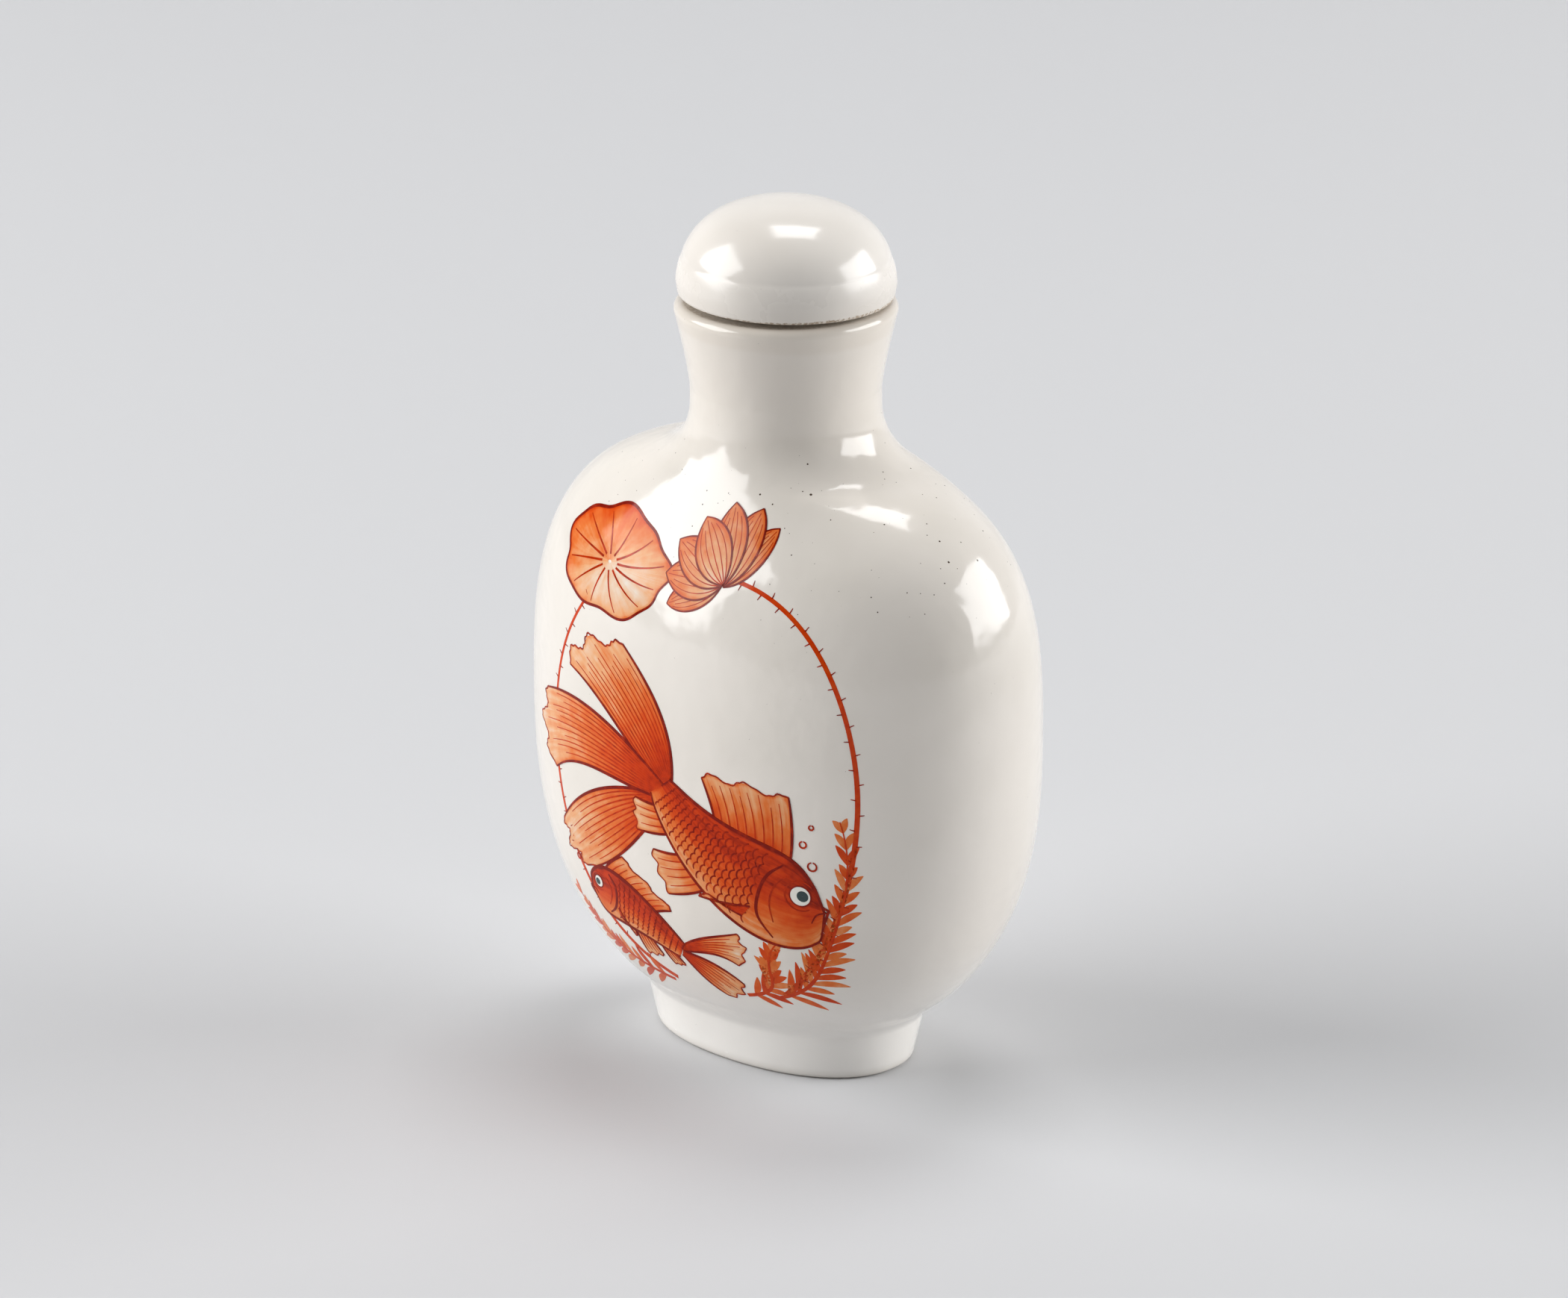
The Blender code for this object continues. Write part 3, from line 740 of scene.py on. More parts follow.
def paint_fish(canvas, spine, back, belly, side, lift):
    """A goldfish along a spine from its nose to the root of its tail. Back and belly are its greatest
    half widths, and side is 1 if its back is to the left of the way from nose to tail, or else -1."""
    length = (Vector(spine[-1]) - Vector(spine[0])).length

    def up_at(share):
        """The way from the belly to the back."""
        way = way_along(spine, share)
        return Vector((-way.y, way.x)) * side

    def spot(share, across):
        """A point of the body, with across from -1 on the belly to 1 on the back."""
        root = 0.075 * length * share**3
        if across > 0.0:
            half = back * math.sin(math.pi * share**0.66) ** 0.85 if share < 1.0 else 0.0
        else:
            half = belly * math.sin(math.pi * share**0.56) ** 0.8 if share < 1.0 else 0.0
        return bezier(spine, share) + up_at(share) * (across * (half + root))

    def body_tone(far, wide):
        """Darker towards the back and on the head."""
        shade = mix(0.40, 0.86, ((wide - 0.06) / 0.62))
        return shade + 0.10 * math.exp(-((far - 0.12) / 0.1) ** 2)

    def body_place(far, wide):
        """The point at shares of the way along and across the body."""
        return spot(far, 2.0 * wide - 1.0)

    canvas.wash(body_place, body_tone, lift, length * 1.2, back + belly, 36, 18)
    for across, width in ((1.0, 0.13), (-1.0, 0.11)):
        outline = [spot(step / 24, across) for step in range(25)]
        canvas.stroke(outline, (width * 0.7, width * 1.2, width * 0.7), 1.0, lift + 0.014)

    columns = int(length / FISH_SCALE_LENGTH)
    rows = FISH_SCALE_ROWS
    for column in range(columns):
        share = mix(0.40, 0.95, column / (columns - 1))
        for row in range(rows):
            across = (row + 0.5 * (column % 2) - (rows - 1) / 2.0) / (rows / 2.0) * 0.86
            if abs(across) > 0.84:
                continue
            way, up = way_along(spine, share), up_at(share)
            middle = spot(share, across)
            reach = (spot(share, 0.3) - spot(share, -0.3)).length / rows * 1.55
            turns = [math.radians(-74.0 + 18.5 * step) for step in range(9)]
            scale = [
                middle + way * (reach * 0.8 * math.cos(turn)) + up * (reach * math.sin(turn))
                for turn in turns
            ]
            canvas.stroke(scale, (0.045, 0.07, 0.045), 0.96, lift + 0.012)

    gill = [spot(0.30, 0.80), spot(0.37, 0.45), spot(0.385, 0.0), spot(0.36, -0.5), spot(0.27, -0.86)]
    canvas.stroke(gill, (0.07, 0.14, 0.06), 1.0, lift + 0.015)
    cheek = [spot(0.26, 0.62), spot(0.315, 0.30), spot(0.32, -0.1), spot(0.28, -0.5)]
    canvas.stroke(cheek, (0.04, 0.07, 0.04), 0.9, lift + 0.015)
    nose, way, up = bezier(spine, 0.0), way_along(spine, 0.0), up_at(0.0)
    lips = [nose - way * (0.022 * length) + up * 0.12, nose - way * (0.014 * length) - up * 0.16]
    mouth = [spot(0.015, 0.5), *lips, spot(0.04, -0.9)]
    canvas.stroke(mouth, (0.06, 0.12, 0.06), 1.0, lift + 0.015)
    smile = [nose - way * (0.02 * length), spot(0.05, -0.1), spot(0.085, -0.35)]
    canvas.stroke(smile, (0.05, 0.06, 0.04), 1.0, lift + 0.016)
    canvas.eye(spot(0.155, 0.34), 0.052 * length, -way, lift)

    def fan(first, last, lean, reach, spread, rays, tones, order):
        """A fin on the body, from its first root point to its last."""
        way = way_along(spine, 0.6)
        out = turned_by(way, lean * side)
        tip = first + out * reach
        far_tip = last + turned_by(out, -spread * side) * (reach * 0.72)
        bend = way * (reach * -0.0875)
        leading = [first, first.lerp(tip, 0.5) + bend, tip]
        trailing = [last, last.lerp(far_tip, 0.5) + bend, far_tip]
        canvas.fin(leading, trailing, rays, tones, order, 0.06, 0.05, 0.085)

    fan(spot(0.26, 0.97), spot(0.74, 0.95), 58.0, back * 1.25, 22.0, 9, (0.72, 0.34), lift - 0.012)
    fan(spot(0.60, -0.95), spot(0.76, -0.97), -52.0, belly * 0.95, -16.0, 5, (0.62, 0.26), lift - 0.012)
    fan(spot(0.84, -0.95), spot(0.95, -0.9), -40.0, belly * 0.8, -12.0, 4, (0.62, 0.26), lift - 0.012)
    fan(spot(0.40, -0.42), spot(0.42, -0.74), -34.0, belly * 1.15, -24.0, 6, (0.70, 0.28), lift + 0.018)


def paint_lotus(canvas, centre, size, lean, lift):
    """A lotus blossom in side view: outer petals first, the middle one last."""
    order = ((-74, 0.95), (74, 0.95), (-50, 1.0), (50, 1.0), (-25, 1.04), (25, 1.04), (0, 1.0))
    for place, (turn, reach) in enumerate(order):
        way = turned_by(Vector((0.0, 1.0)), -turn - lean)
        beside = Vector((way.y, -way.x))
        root = Vector(centre) + beside * (0.02 * size)
        tip = root + way * (size * reach)
        swell = size * (0.36 if abs(turn) < 60 else 0.27)
        low, high = root + way * (0.25 * size), root + way * (0.75 * size)
        left = [root, low - beside * swell, high - beside * swell, tip]
        right = [root, low + beside * swell, high + beside * swell, tip + beside * 0.02]
        canvas.fin(left, right, 6, (0.16, 0.52), lift + 0.012 * place, 0.0, 0.0, 0.06)


def paint_leaf(canvas, centre, width, height, lift):
    """A lotus leaf seen from the side and a little from above, with veins from its middle."""
    def place(far, wide):
        """The point at a share of the way out, and a share of the way round."""
        turn = 2.0 * math.pi * wide
        ripple = 1.0 + far**2 * (0.05 * math.sin(5.0 * turn + 0.6) + 0.03 * math.sin(9.0 * turn))
        reach = mix(0.03, 1.0, far) * ripple
        up = height * math.sin(turn) - 0.12 * height * (1 - far)
        return Vector(centre) + Vector((width * math.cos(turn), up)) * reach

    def tone(far, wide):
        """Darker towards the rim and on the upper left."""
        turn = 2.0 * math.pi * wide
        return 0.26 + 0.24 * far**3 + 0.16 * math.sin(turn - 0.6)

    canvas.wash(place, tone, lift, min(width, height), 9.0, 16, 48, True)
    for vein in range(12):
        wide = (vein + 0.25) / 12.0
        marks = [place(0.12 + 0.78 * step / 6, wide + 0.004 * step) for step in range(7)]
        canvas.stroke(marks, (0.09, 0.07, 0.04), 0.9, lift + 0.01)
    rim = [place(1.0, step / 60) for step in range(61)]
    canvas.stroke(rim, (0.08, 0.12, 0.08), 1.0, lift + 0.01)


def paint_weed(canvas, spine, leaflets, reach, lift):
    """A strand of water weed: a bending stem with soft leaflets in pairs."""
    canvas.curve(spine, (0.16, 0.12, 0.05), 0.8, lift + 0.008, 24)
    for leaflet in range(leaflets):
        share = mix(0.06, 0.97, leaflet / (leaflets - 1))
        point, way = bezier(spine, share), way_along(spine, share)
        size = reach * mix(1.0, 0.45, share) * (0.9 + 0.18 * math.sin(leaflet * 2.4))
        for side in (-1.0, 1.0):
            out = turned_by(way, side * mix(62.0, 34.0, share))
            tip = point + out * size + way * (size * 0.25)
            bend = point.lerp(tip, 0.5) + Vector((-out.y, out.x)) * (side * -0.14 * size)
            tone = 0.60 + 0.16 * math.sin(leaflet * 1.7)
            canvas.curve([point, bend, tip], (0.07, 0.29, 0.03), tone, lift, 8)


def paint_stem(canvas, points, width, lift, thorns):
    """A long stem with short thorns in turn on its two sides."""
    canvas.curve(points, (width, width * 0.8, width * 0.6), 0.78, lift, 36)
    for thorn in range(2, thorns):
        share = thorn / thorns
        point, way = bezier(points, share), way_along(points, share)
        out = Vector((-way.y, way.x)) * (1.0 if thorn % 2 else -1.0)
        marks = [point + out * width * 0.5, point + out * (width + 0.3) + way * 0.08]
        canvas.stroke(marks, (0.055, 0.045, 0.03), 0.95, lift + 0.006)


def paint_scene():
    """Two goldfish under a lotus, with a leaf on its stem and water weed below."""
    canvas = Canvas()

    flower_stem = [(9.5, 9.0), (20.0, 17.5), (20.5, 34.0), (14.5, 42.5), (5.2, 43.2)]
    leaf_stem = [(-1.0, 8.2), (-12.0, 12.0), (-15.5, 24.0), (-14.5, 33.0), (-8.6, 39.6)]
    paint_stem(canvas, flower_stem, 0.25, 0.012, 36)
    paint_stem(canvas, leaf_stem, 0.22, 0.010, 32)
    paint_lotus(canvas, (4.6, 42.6), 5.6, -42.0, 0.014)
    paint_leaf(canvas, (-7.4, 41.9), 6.6, 3.9, 0.016)
    weeds = (
        ([(8.5, 8.6), (15.0, 10.5), (12.5, 14.0), (18.6, 18.0), (16.2, 25.5)], 19, 2.9),
        ([(6.0, 8.4), (11.0, 9.6), (7.4, 11.6), (10.4, 14.4)], 12, 2.1),
        ([(-1.5, 7.8), (-7.5, 8.6), (-9.0, 8.8), (-12.6, 12.6)], 12, 2.2),
    )
    for spine, leaflets, reach in weeds:
        paint_weed(canvas, spine, leaflets, reach, 0.012)

    tail_lobes = (
        (
            [(0.9, 25.0), (-4.0, 25.0), (-8.8, 23.6), (-12.4, 19.4)],
            [(1.0, 24.4), (-1.6, 21.8), (-3.4, 18.6), (-8.4, 16.2)], 11,
        ),
        (
            [(1.4, 25.9), (1.8, 30.6), (-0.6, 33.6), (-4.0, 36.0)],
            [(0.8, 25.0), (-3.6, 28.6), (-6.4, 31.8), (-11.2, 33.0)], 13,
        ),
        (
            [(0.8, 25.7), (-4.4, 29.6), (-9.2, 31.2), (-14.6, 29.6)],
            [(0.6, 24.7), (-4.6, 24.6), (-9.0, 26.4), (-13.8, 23.4)], 12,
        ),
    )
    for order, (leading, trailing, rays) in enumerate(tail_lobes):
        canvas.fin(leading, trailing, rays, (0.95, 0.26), 0.016 + 0.012 * order, 0.12, 0.04, 0.10)
    paint_fish(canvas, [(14.6, 17.6), (10.6, 17.4), (4.4, 20.2), (0.2, 25.7)], 4.1, 4.0, -1.0, 0.052)

    small_lobes = (
        (
            [(0.8, 11.8), (2.6, 13.2), (4.4, 13.6), (6.6, 14.4)],
            [(0.9, 11.4), (3.0, 11.8), (4.6, 12.4), (6.4, 11.4)], 7,
        ),
        (
            [(0.88, 11.36), (3.0, 11.4), (4.8, 10.8), (6.0, 9.6)],
            [(0.7, 11.0), (1.8, 9.8), (2.4, 8.8), (4.0, 7.8)], 7,
        ),
    )
    for order, (leading, trailing, rays) in enumerate(small_lobes):
        canvas.fin(leading, trailing, rays, (0.90, 0.26), 0.016 + 0.012 * order, 0.12, 0.04, 0.08)
    paint_fish(canvas, [(-9.2, 14.2), (-7.0, 15.0), (-2.6, 13.6), (0.8, 11.4)], 2.3, 2.2, 1.0, 0.04)

    bubbles = (((13.9, 21.5), 0.36), ((13.2, 23.3), 0.28), ((13.9, 24.8), 0.2), ((-10.8, 16.4), 0.26))
    for centre, radius in bubbles:
        canvas.bubble(centre, radius)
    return canvas


def grid_faces(rows, columns, start=0):
    """The corners of each face of a grid of points, whose first point has the number start."""
    corners = [start + row * columns + step for row in range(rows - 1) for step in range(columns - 1)]
    return [(corner, corner + 1, corner + columns + 1, corner + columns) for corner in corners]


def canvas_mesh():
    """The front half of the glaze with a map of the flat canvas on it. Across the canvas goes the way
    along the glaze from the middle line, and up the canvas goes the level."""
    low, high = CANVAS_LEVELS
    rows = [(level, *outer_oval(level)) for level in outer_levels(OUTER_ROWS) if low < level < high]
    half = BOTTLE_TURNS // 4
    points, spots = [], []
    for level, width, depth, power in rows:
        ring = []
        for step in range(-half, half + 1):
            turn = math.pi / 2.0 * step / half - math.pi / 2.0
            waves = (math.cos(turn), math.sin(turn))
            east, north = [math.copysign(abs(wave) ** (2.0 / power), wave) for wave in waves]
            ring.append(Vector((width * east, depth * north, level)))
        ways = [0.0]
        for first, second in zip(ring, ring[1:]):
            ways.append(ways[-1] + (second - first).length)
        points += ring
        spots += [((way - ways[half]) / CANVAS_SIZE + 0.5, level / CANVAS_SIZE) for way in ways]
    mesh = new_mesh("canvas", points, [], grid_faces(len(rows), 2 * half + 1))
    mesh.shade_smooth()
    layer = mesh.uv_layers.new(name="canvas")
    for loop in mesh.loops:
        layer.data[loop.index].uv = spots[loop.vertex_index]
    return mesh


def lay_on_glaze(tree, flat, glazed):
    """Bends flat marks over the glaze and gives them a body that stands out by their lift."""
    east, level, _ = split(tree, add(tree, "GeometryNodeInputPosition").outputs[0])
    spot = combined(tree, east / CANVAS_SIZE + 0.5, level / CANVAS_SIZE)
    surface = add(tree, "GeometryNodeObjectInfo", {"Object": glazed}).outputs["Geometry"]
    canvas_map = value_at(tree, "canvas", "FLOAT_VECTOR")
    keep = add(tree, "GeometryNodeCaptureAttribute", {"Geometry": flat})
    sources = (("ground", "GeometryNodeInputPosition"), ("facing", "GeometryNodeInputNormal"))
    for name, source in sources:
        found = add(tree, "GeometryNodeSampleUVSurface", {
            "Mesh": surface, "UV Map": canvas_map, "Sample UV": spot,
            "Value": add(tree, source).outputs[0],
        }, data_type="FLOAT_VECTOR")
        keep.capture_items.new("VECTOR", name)
        tree.links.new(found.outputs[0], keep.inputs[name])

    def moved(geometry, height, selection=True):
        """The marks put on the ground under them and lifted by a height off it."""
        shift = vector_step(tree, "SCALE", {0: keep.outputs["facing"], "Scale": height})
        goal = vector_step(tree, "ADD", {0: keep.outputs["ground"], 1: shift})
        inputs = {"Geometry": geometry, "Position": goal, "Selection": selection}
        return add(tree, "GeometryNodeSetPosition", inputs).outputs[0]

    base = moved(keep.outputs["Geometry"], -SINK)
    raised = add(tree, "GeometryNodeExtrudeMesh", {
        "Mesh": base, "Offset Scale": 0.0, "Individual": False,
    })
    top = moved(raised.outputs["Mesh"], value_at(tree, "lift"), raised.outputs["Top"])
    under = add(tree, "GeometryNodeFlipFaces", {"Mesh": base})
    joined = add(tree, "GeometryNodeJoinGeometry")
    for part in (under.outputs[0], top):
        tree.links.new(part, joined.inputs[0])
    return with_crisp_corners(tree, merged(tree, joined.outputs[0], MERGE_DISTANCE))


def stroke_tree(finish):
    """A tree that draws each row of points as a brush stroke along a smooth curve on the glaze."""
    tree, given = geometry_tree("brush strokes on the glaze", {"Glaze": "Object", "Step": "Float"})
    rough = add(tree, "GeometryNodeMeshToCurve", {"Mesh": given["Geometry"]})
    smooth = add(tree, "GeometryNodeCurveSplineType", {
        "Curve": rough.outputs[0],
    }, spline_type="CATMULL_ROM")
    even = add(tree, "GeometryNodeResampleCurve", {
        "Curve": smooth.outputs[0], "Length": given["Step"],
    }, mode="LENGTH")
    curve = add(tree, "GeometryNodeSetCurveNormal", {"Curve": even.outputs[0]}, mode="Z_UP")
    line = add(tree, "GeometryNodeCurvePrimitiveLine", {
        "Start": (-1.0, 0.0, 0.0), "End": (1.0, 0.0, 0.0),
    })
    brush = add(tree, "GeometryNodeResampleCurve", {
        "Curve": line.outputs[0], "Count": 4,
    }, mode="COUNT")
    ribbon = add(tree, "GeometryNodeCurveToMesh", {
        "Curve": curve.outputs[0], "Profile Curve": brush.outputs[0],
        "Scale": value_at(tree, "half_width"),
    })
    finish_tree(tree, lay_on_glaze(tree, ribbon.outputs[0], given["Glaze"]), finish)
    return tree


def wash_tree(finish):
    """A tree that lays flat patches of colour on the glaze."""
    tree, given = geometry_tree("washes on the glaze", {"Glaze": "Object"})
    flat = merged(tree, given["Geometry"], MERGE_DISTANCE)
    finish_tree(tree, lay_on_glaze(tree, flat, given["Glaze"]), finish)
    return tree


def stroke_mesh(strokes):
    """Each stroke as a line of points that hold its half width, tone and lift."""
    points, edges, values = [], [], []
    for marks in strokes:
        start = len(points)
        points += [(mark[0] * MM, mark[1] * MM, 0.0) for mark in marks]
        edges += [(start + index, start + index + 1) for index in range(len(marks) - 1)]
        values += [(mark[2] * MM, mark[3], mark[4] * MM) for mark in marks]
    return new_mesh("strokes", points, edges, [], ("half_width", "tone", "lift"), values)


def wash_mesh(washes):
    """Each wash as a flat grid of points that hold its colour, lift and place under the brush."""
    points, faces, values = [], [], []
    for rows in washes:
        faces += grid_faces(len(rows), len(rows[0]), len(points))
        for row in rows:
            points += [(mark[0] * MM, mark[1] * MM, 0.0) for mark in row]
            values += [(mark[2], mark[3], mark[4] * MM, mark[5], mark[6]) for mark in row]
    labels = ("tone", "edge", "lift", "brush_across", "brush_along")
    return new_mesh("washes", points, [], faces, labels, values)


# Finishes

def linear(red, green, blue):
    """A colour given as the 0 to 255 values that a screen shows."""
    values = []
    for value in (red, green, blue):
        share = value / 255.0
        values.append(share / 12.92 if share <= 0.04045 else ((share + 0.055) / 1.055) ** 2.4)
    return (*values, 1.0)


BODY_WHITE = linear(236, 230, 222)
BODY_SHADE = linear(229, 223, 214)
CAP_WHITE = linear(241, 236, 229)
CAP_SHADE = linear(233, 227, 219)
# Painted light round the foot
FOOT_PAINTED_LIGHT = linear(247, 244, 239)
# Painted warm shade up the neck, and the colour of the glaze gathered under the lip
NECK_SHADE_AND_POOL = linear(216, 204, 187)
# Thin glaze, and painted shade towards the base
THIN_GLAZE_AND_SHADE = linear(214, 207, 197)
SPECK_BROWN = linear(76, 60, 50)
CLAY_DARK = linear(168, 148, 126)
CLAY_PALE = linear(226, 219, 208)
# Painted shade in the seam between the cap and the lip
SEAM_SHADE = linear(126, 110, 92)
CORK_DARK = linear(150, 108, 66)
CORK_PALE = linear(202, 162, 112)
CORK_PORE = linear(88, 56, 34)
BONE_PALE = linear(236, 226, 204)
BONE_STREAK = linear(220, 204, 174)
EYE_WHITE = linear(238, 236, 228)
PUPIL_BLACK = linear(34, 58, 60)


def new_finish(name, roughness, **constants):
    """A material with a Principled shader, and that shader and its tree."""
    made = bpy.data.materials.new(name)
    made.use_nodes = True
    tree = made.node_tree
    shader = tree.nodes["Principled BSDF"]
    shader.inputs["Roughness"].default_value = roughness
    for label, value in constants.items():
        shader.inputs[label.replace("_", " ")].default_value = value
    return made, tree, shader


def object_point(tree):
    """The place of a shaded point in its object."""
    return add(tree, "ShaderNodeTexCoord").outputs["Object"]


def noise(tree, point, scale, detail=2.0, roughness=0.5):
    """Soft noise from 0 to 1, with its scale in waves to the metre."""
    return Number(tree, add(tree, "ShaderNodeTexNoise", {
        "Vector": point, "Scale": scale, "Detail": detail, "Roughness": roughness,
    }).outputs["Fac"])


def blended(tree, share, first, second):
    """A colour between two, each given as a colour or a socket."""
    inputs = {0: share.socket, 6: first, 7: second}
    return add(tree, "ShaderNodeMix", inputs, data_type="RGBA").outputs[2]


def specks(tree, point, scale, widest):
    """1 in round specks scattered through a solid and 0 outside them. Widest is the greatest radius
    as a share of the way between two specks, and most are much smaller."""
    cells = add(tree, "ShaderNodeTexVoronoi", {"Vector": point, "Scale": scale})
    draw = add(tree, "ShaderNodeSeparateColor", {"Color": cells.outputs["Color"]})
    chance = Number(tree, draw.outputs[0])
    depth = widest * (chance ** 3.0 * 0.7 + 0.3) - Number(tree, cells.outputs["Distance"])
    return depth.smooth(0.0, 0.015)


def glaze(name, white, shade, dullness, waviness, bare_level, thin_level):
    """Fired glaze: a warm white with faint clouds and iron specks, most of them on the right of the
    shoulder, over a wavy skin. Round the foot it is whiter, which is painted light. Up the neck a
    browner tint is painted warm shade, and under the lip the glaze gathered browner still. From its
    thin level down it greys, which is thinner glaze and painted shade, and it dulls. From its bare
    level down the clay is open, grainy and stained, and at the foot this darker clay also paints the
    shade where the foot meets the floor. Painted shade darkens the seam where the cap meets the lip."""
    made, tree, shader = new_finish(name, 0.13, IOR=1.52)
    point = object_point(tree)
    east, north, level = split(tree, point)
    clouds = noise(tree, point, 70.0, 3.0)
    grain = noise(tree, point, 3600.0, 2.0, 0.6)

    colour = blended(tree, clouds.smooth(0.35, 0.7), white, shade)
    # Painted light: the glaze is made whiter towards the foot.
    painted_foot_light = level.smooth(15.0 * MM, 3.0 * MM)
    colour = blended(tree, painted_foot_light * 0.9, colour, FOOT_PAINTED_LIGHT)

    # Painted warm shade all round the neck, and a browner band under the lip where the glaze gathered.
    up_neck = level.smooth(SHOULDER_LEVEL - 3.0 * MM, NECK_WAIST_LEVEL)
    up_neck = up_neck * level.smooth(LIP_LEVEL + 0.1 * MM, LIP_LEVEL)
    runs = level - clouds * (2.4 * MM)
    gathered = up_neck * runs.smooth(LIP_LEVEL - 3.2 * MM, LIP_LEVEL - 2.6 * MM)
    colour = blended(tree, up_neck * 0.16 + gathered * 0.18, colour, NECK_SHADE_AND_POOL)

    # Greyer towards the base where the glaze thins, and this darkening is also painted shade, most of
    # all on the cap's side band.
    thinning_and_shade = level.smooth(thin_level, bare_level)
    colour = blended(tree, thinning_and_shade * 0.5, colour, THIN_GLAZE_AND_SHADE)

    shoulder = level.smooth(39.0 * MM, 45.0 * MM) * level.smooth(56.0 * MM, 52.0 * MM)
    shoulder = shoulder * (east.smooth(-8.0 * MM, 6.0 * MM) * 0.6 + 0.4)
    crowd = noise(tree, point, 160.0).smooth(0.4, 0.6)
    spots = specks(tree, point, 1500.0, shoulder * (crowd * 0.09 + 0.06) + 0.045)
    colour = blended(tree, spots, colour, SPECK_BROWN)

    ragged = level + (grain - 0.5) * (0.3 * MM)
    bare = ragged.smooth(bare_level, bare_level - 0.12 * MM)
    clay = blended(tree, grain.smooth(0.38, 0.62), CLAY_DARK, CLAY_PALE)
    colour = blended(tree, bare, colour, clay)

    # Painted shade: a darker, broken ring on the lip's top in the seam under the cap.
    reach = (east ** 2.0 + north ** 2.0) ** 0.5
    seam = reach.smooth(7.3 * MM, 7.7 * MM) * reach.smooth(8.2 * MM, 8.0 * MM)
    seam = seam * level.smooth(LIP_LEVEL - 0.5 * MM, LIP_LEVEL - 0.4 * MM)
    seam = seam * level.smooth(LIP_LEVEL + 0.2 * MM, LIP_LEVEL)
    seam_shade = seam * (clouds.smooth(0.3, 0.6) * 0.5 + grain.smooth(0.4, 0.6) * 0.2)
    colour = blended(tree, seam_shade, colour, SEAM_SHADE)
    tree.links.new(colour, shader.inputs["Base Color"])

    thin = level.smooth(thin_level, thin_level - 0.2 * MM)
    scuffs = noise(tree, point, 420.0, 3.0).smooth(0.45, 0.8)
    dull = scuffs * 0.05 + bare * 0.5 + thin * 0.12 + dullness
    tree.links.new(dull.socket, shader.inputs["Roughness"])
    wavy_skin(tree, shader, point, waviness)
    return made


def uneven(tree, shader, height, strength, depth):
    """Gives a finish the relief of a height that its nodes make."""
    relief = add(tree, "ShaderNodeBump", {
        "Height": height.socket, "Strength": strength, "Distance": depth,
    })
    tree.links.new(relief.outputs[0], shader.inputs["Normal"])


def cork_finish():
    """Cork: a warm tan grain with dark open pores."""
    made, tree, shader = new_finish("cork", 0.8)
    point = object_point(tree)
    grain = noise(tree, point, 1100.0, 3.0, 0.6)
    colour = blended(tree, grain.smooth(0.3, 0.7), CORK_DARK, CORK_PALE)
    pores = specks(tree, point, 900.0, grain * 0.6)
    tree.links.new(blended(tree, pores, colour, CORK_PORE), shader.inputs["Base Color"])
    uneven(tree, shader, grain - pores * 0.8, 0.5, 0.2 * MM)
    return made


def bone_finish():
    """Polished bone: pale ivory with fine darker streaks along the stem."""
    made, tree, shader = new_finish("bone", 0.3, IOR=1.5)
    point = object_point(tree)
    drawn_out = vector_step(tree, "MULTIPLY", {0: point, 1: (1.0, 1.0, 0.06)})
    streaks = noise(tree, drawn_out, 2600.0, 3.0, 0.6)
    colour = blended(tree, streaks.smooth(0.35, 0.7), BONE_PALE, BONE_STREAK)
    tree.links.new(colour, shader.inputs["Base Color"])
    tree.links.new((streaks * 0.2 + 0.22).socket, shader.inputs["Roughness"])
    uneven(tree, shader, streaks, 0.15, 0.1 * MM)
    return made


def number_from(tree, name):
    """A number that the mesh holds at each point."""
    return Number(tree, add(tree, "ShaderNodeAttribute", attribute_name=name).outputs["Fac"])


# From bare glaze to the darkest brown, as a share of the red that the brush can carry
RED_STEPS = (
    (0.0, (236, 230, 222)), (0.14, (232, 202, 176)), (0.30, (230, 168, 120)), (0.48, (224, 118, 56)),
    (0.66, (214, 78, 18)), (0.84, (196, 52, 4)), (1.0, (124, 18, 2)),
)


def iron_red(name, pooled):
    """Overglaze iron red, from a thin peach wash to dark brown where the brush left most colour. A
    pooled one shows the hairs of the brush and gathers at the edges of a wash."""
    made, tree, shader = new_finish(name, 0.14, IOR=1.25)
    point = object_point(tree)
    amount = number_from(tree, "tone")
    if pooled:
        edge = number_from(tree, "edge")
        rim = edge.smooth(0.30, 0.0) * 0.16
        wide = number_from(tree, "brush_across") * 2.4
        far = number_from(tree, "brush_along") * 0.22
        hairs = (noise(tree, combined(tree, wide, far), 1.0, 3.0, 0.6) - 0.5) * 0.42
        blots = (noise(tree, point, 900.0, 3.0) - 0.5) * 0.30
        amount = amount + rim + hairs + blots
    else:
        amount = amount + (noise(tree, point, 1500.0, 2.0) - 0.5) * 0.30
    ramp = add(tree, "ShaderNodeValToRGB", {"Fac": amount.socket})
    steps = ramp.color_ramp.elements
    for place, (share, colour) in enumerate(RED_STEPS):
        step = steps[place] if place < 2 else steps.new(share)
        step.position = share
        step.color = linear(*colour)
    tree.links.new(ramp.outputs["Color"], shader.inputs["Base Color"])
    wavy_skin(tree, shader, point)
    return made


def eye_finish():
    """White enamel, and a blue-grey black where the pupils are."""
    made, tree, shader = new_finish("eye_enamel", 0.15)
    colour = blended(tree, number_from(tree, "tone"), EYE_WHITE, PUPIL_BLACK)
    tree.links.new(colour, shader.inputs["Base Color"])
    return made


def wavy_skin(tree, shader, point, strength=0.5):
    """The slight waves of a hand-dipped glaze, which the painting shares."""
    uneven(tree, shader, noise(tree, point, 150.0, 3.0, 0.52), strength, 0.4 * MM)


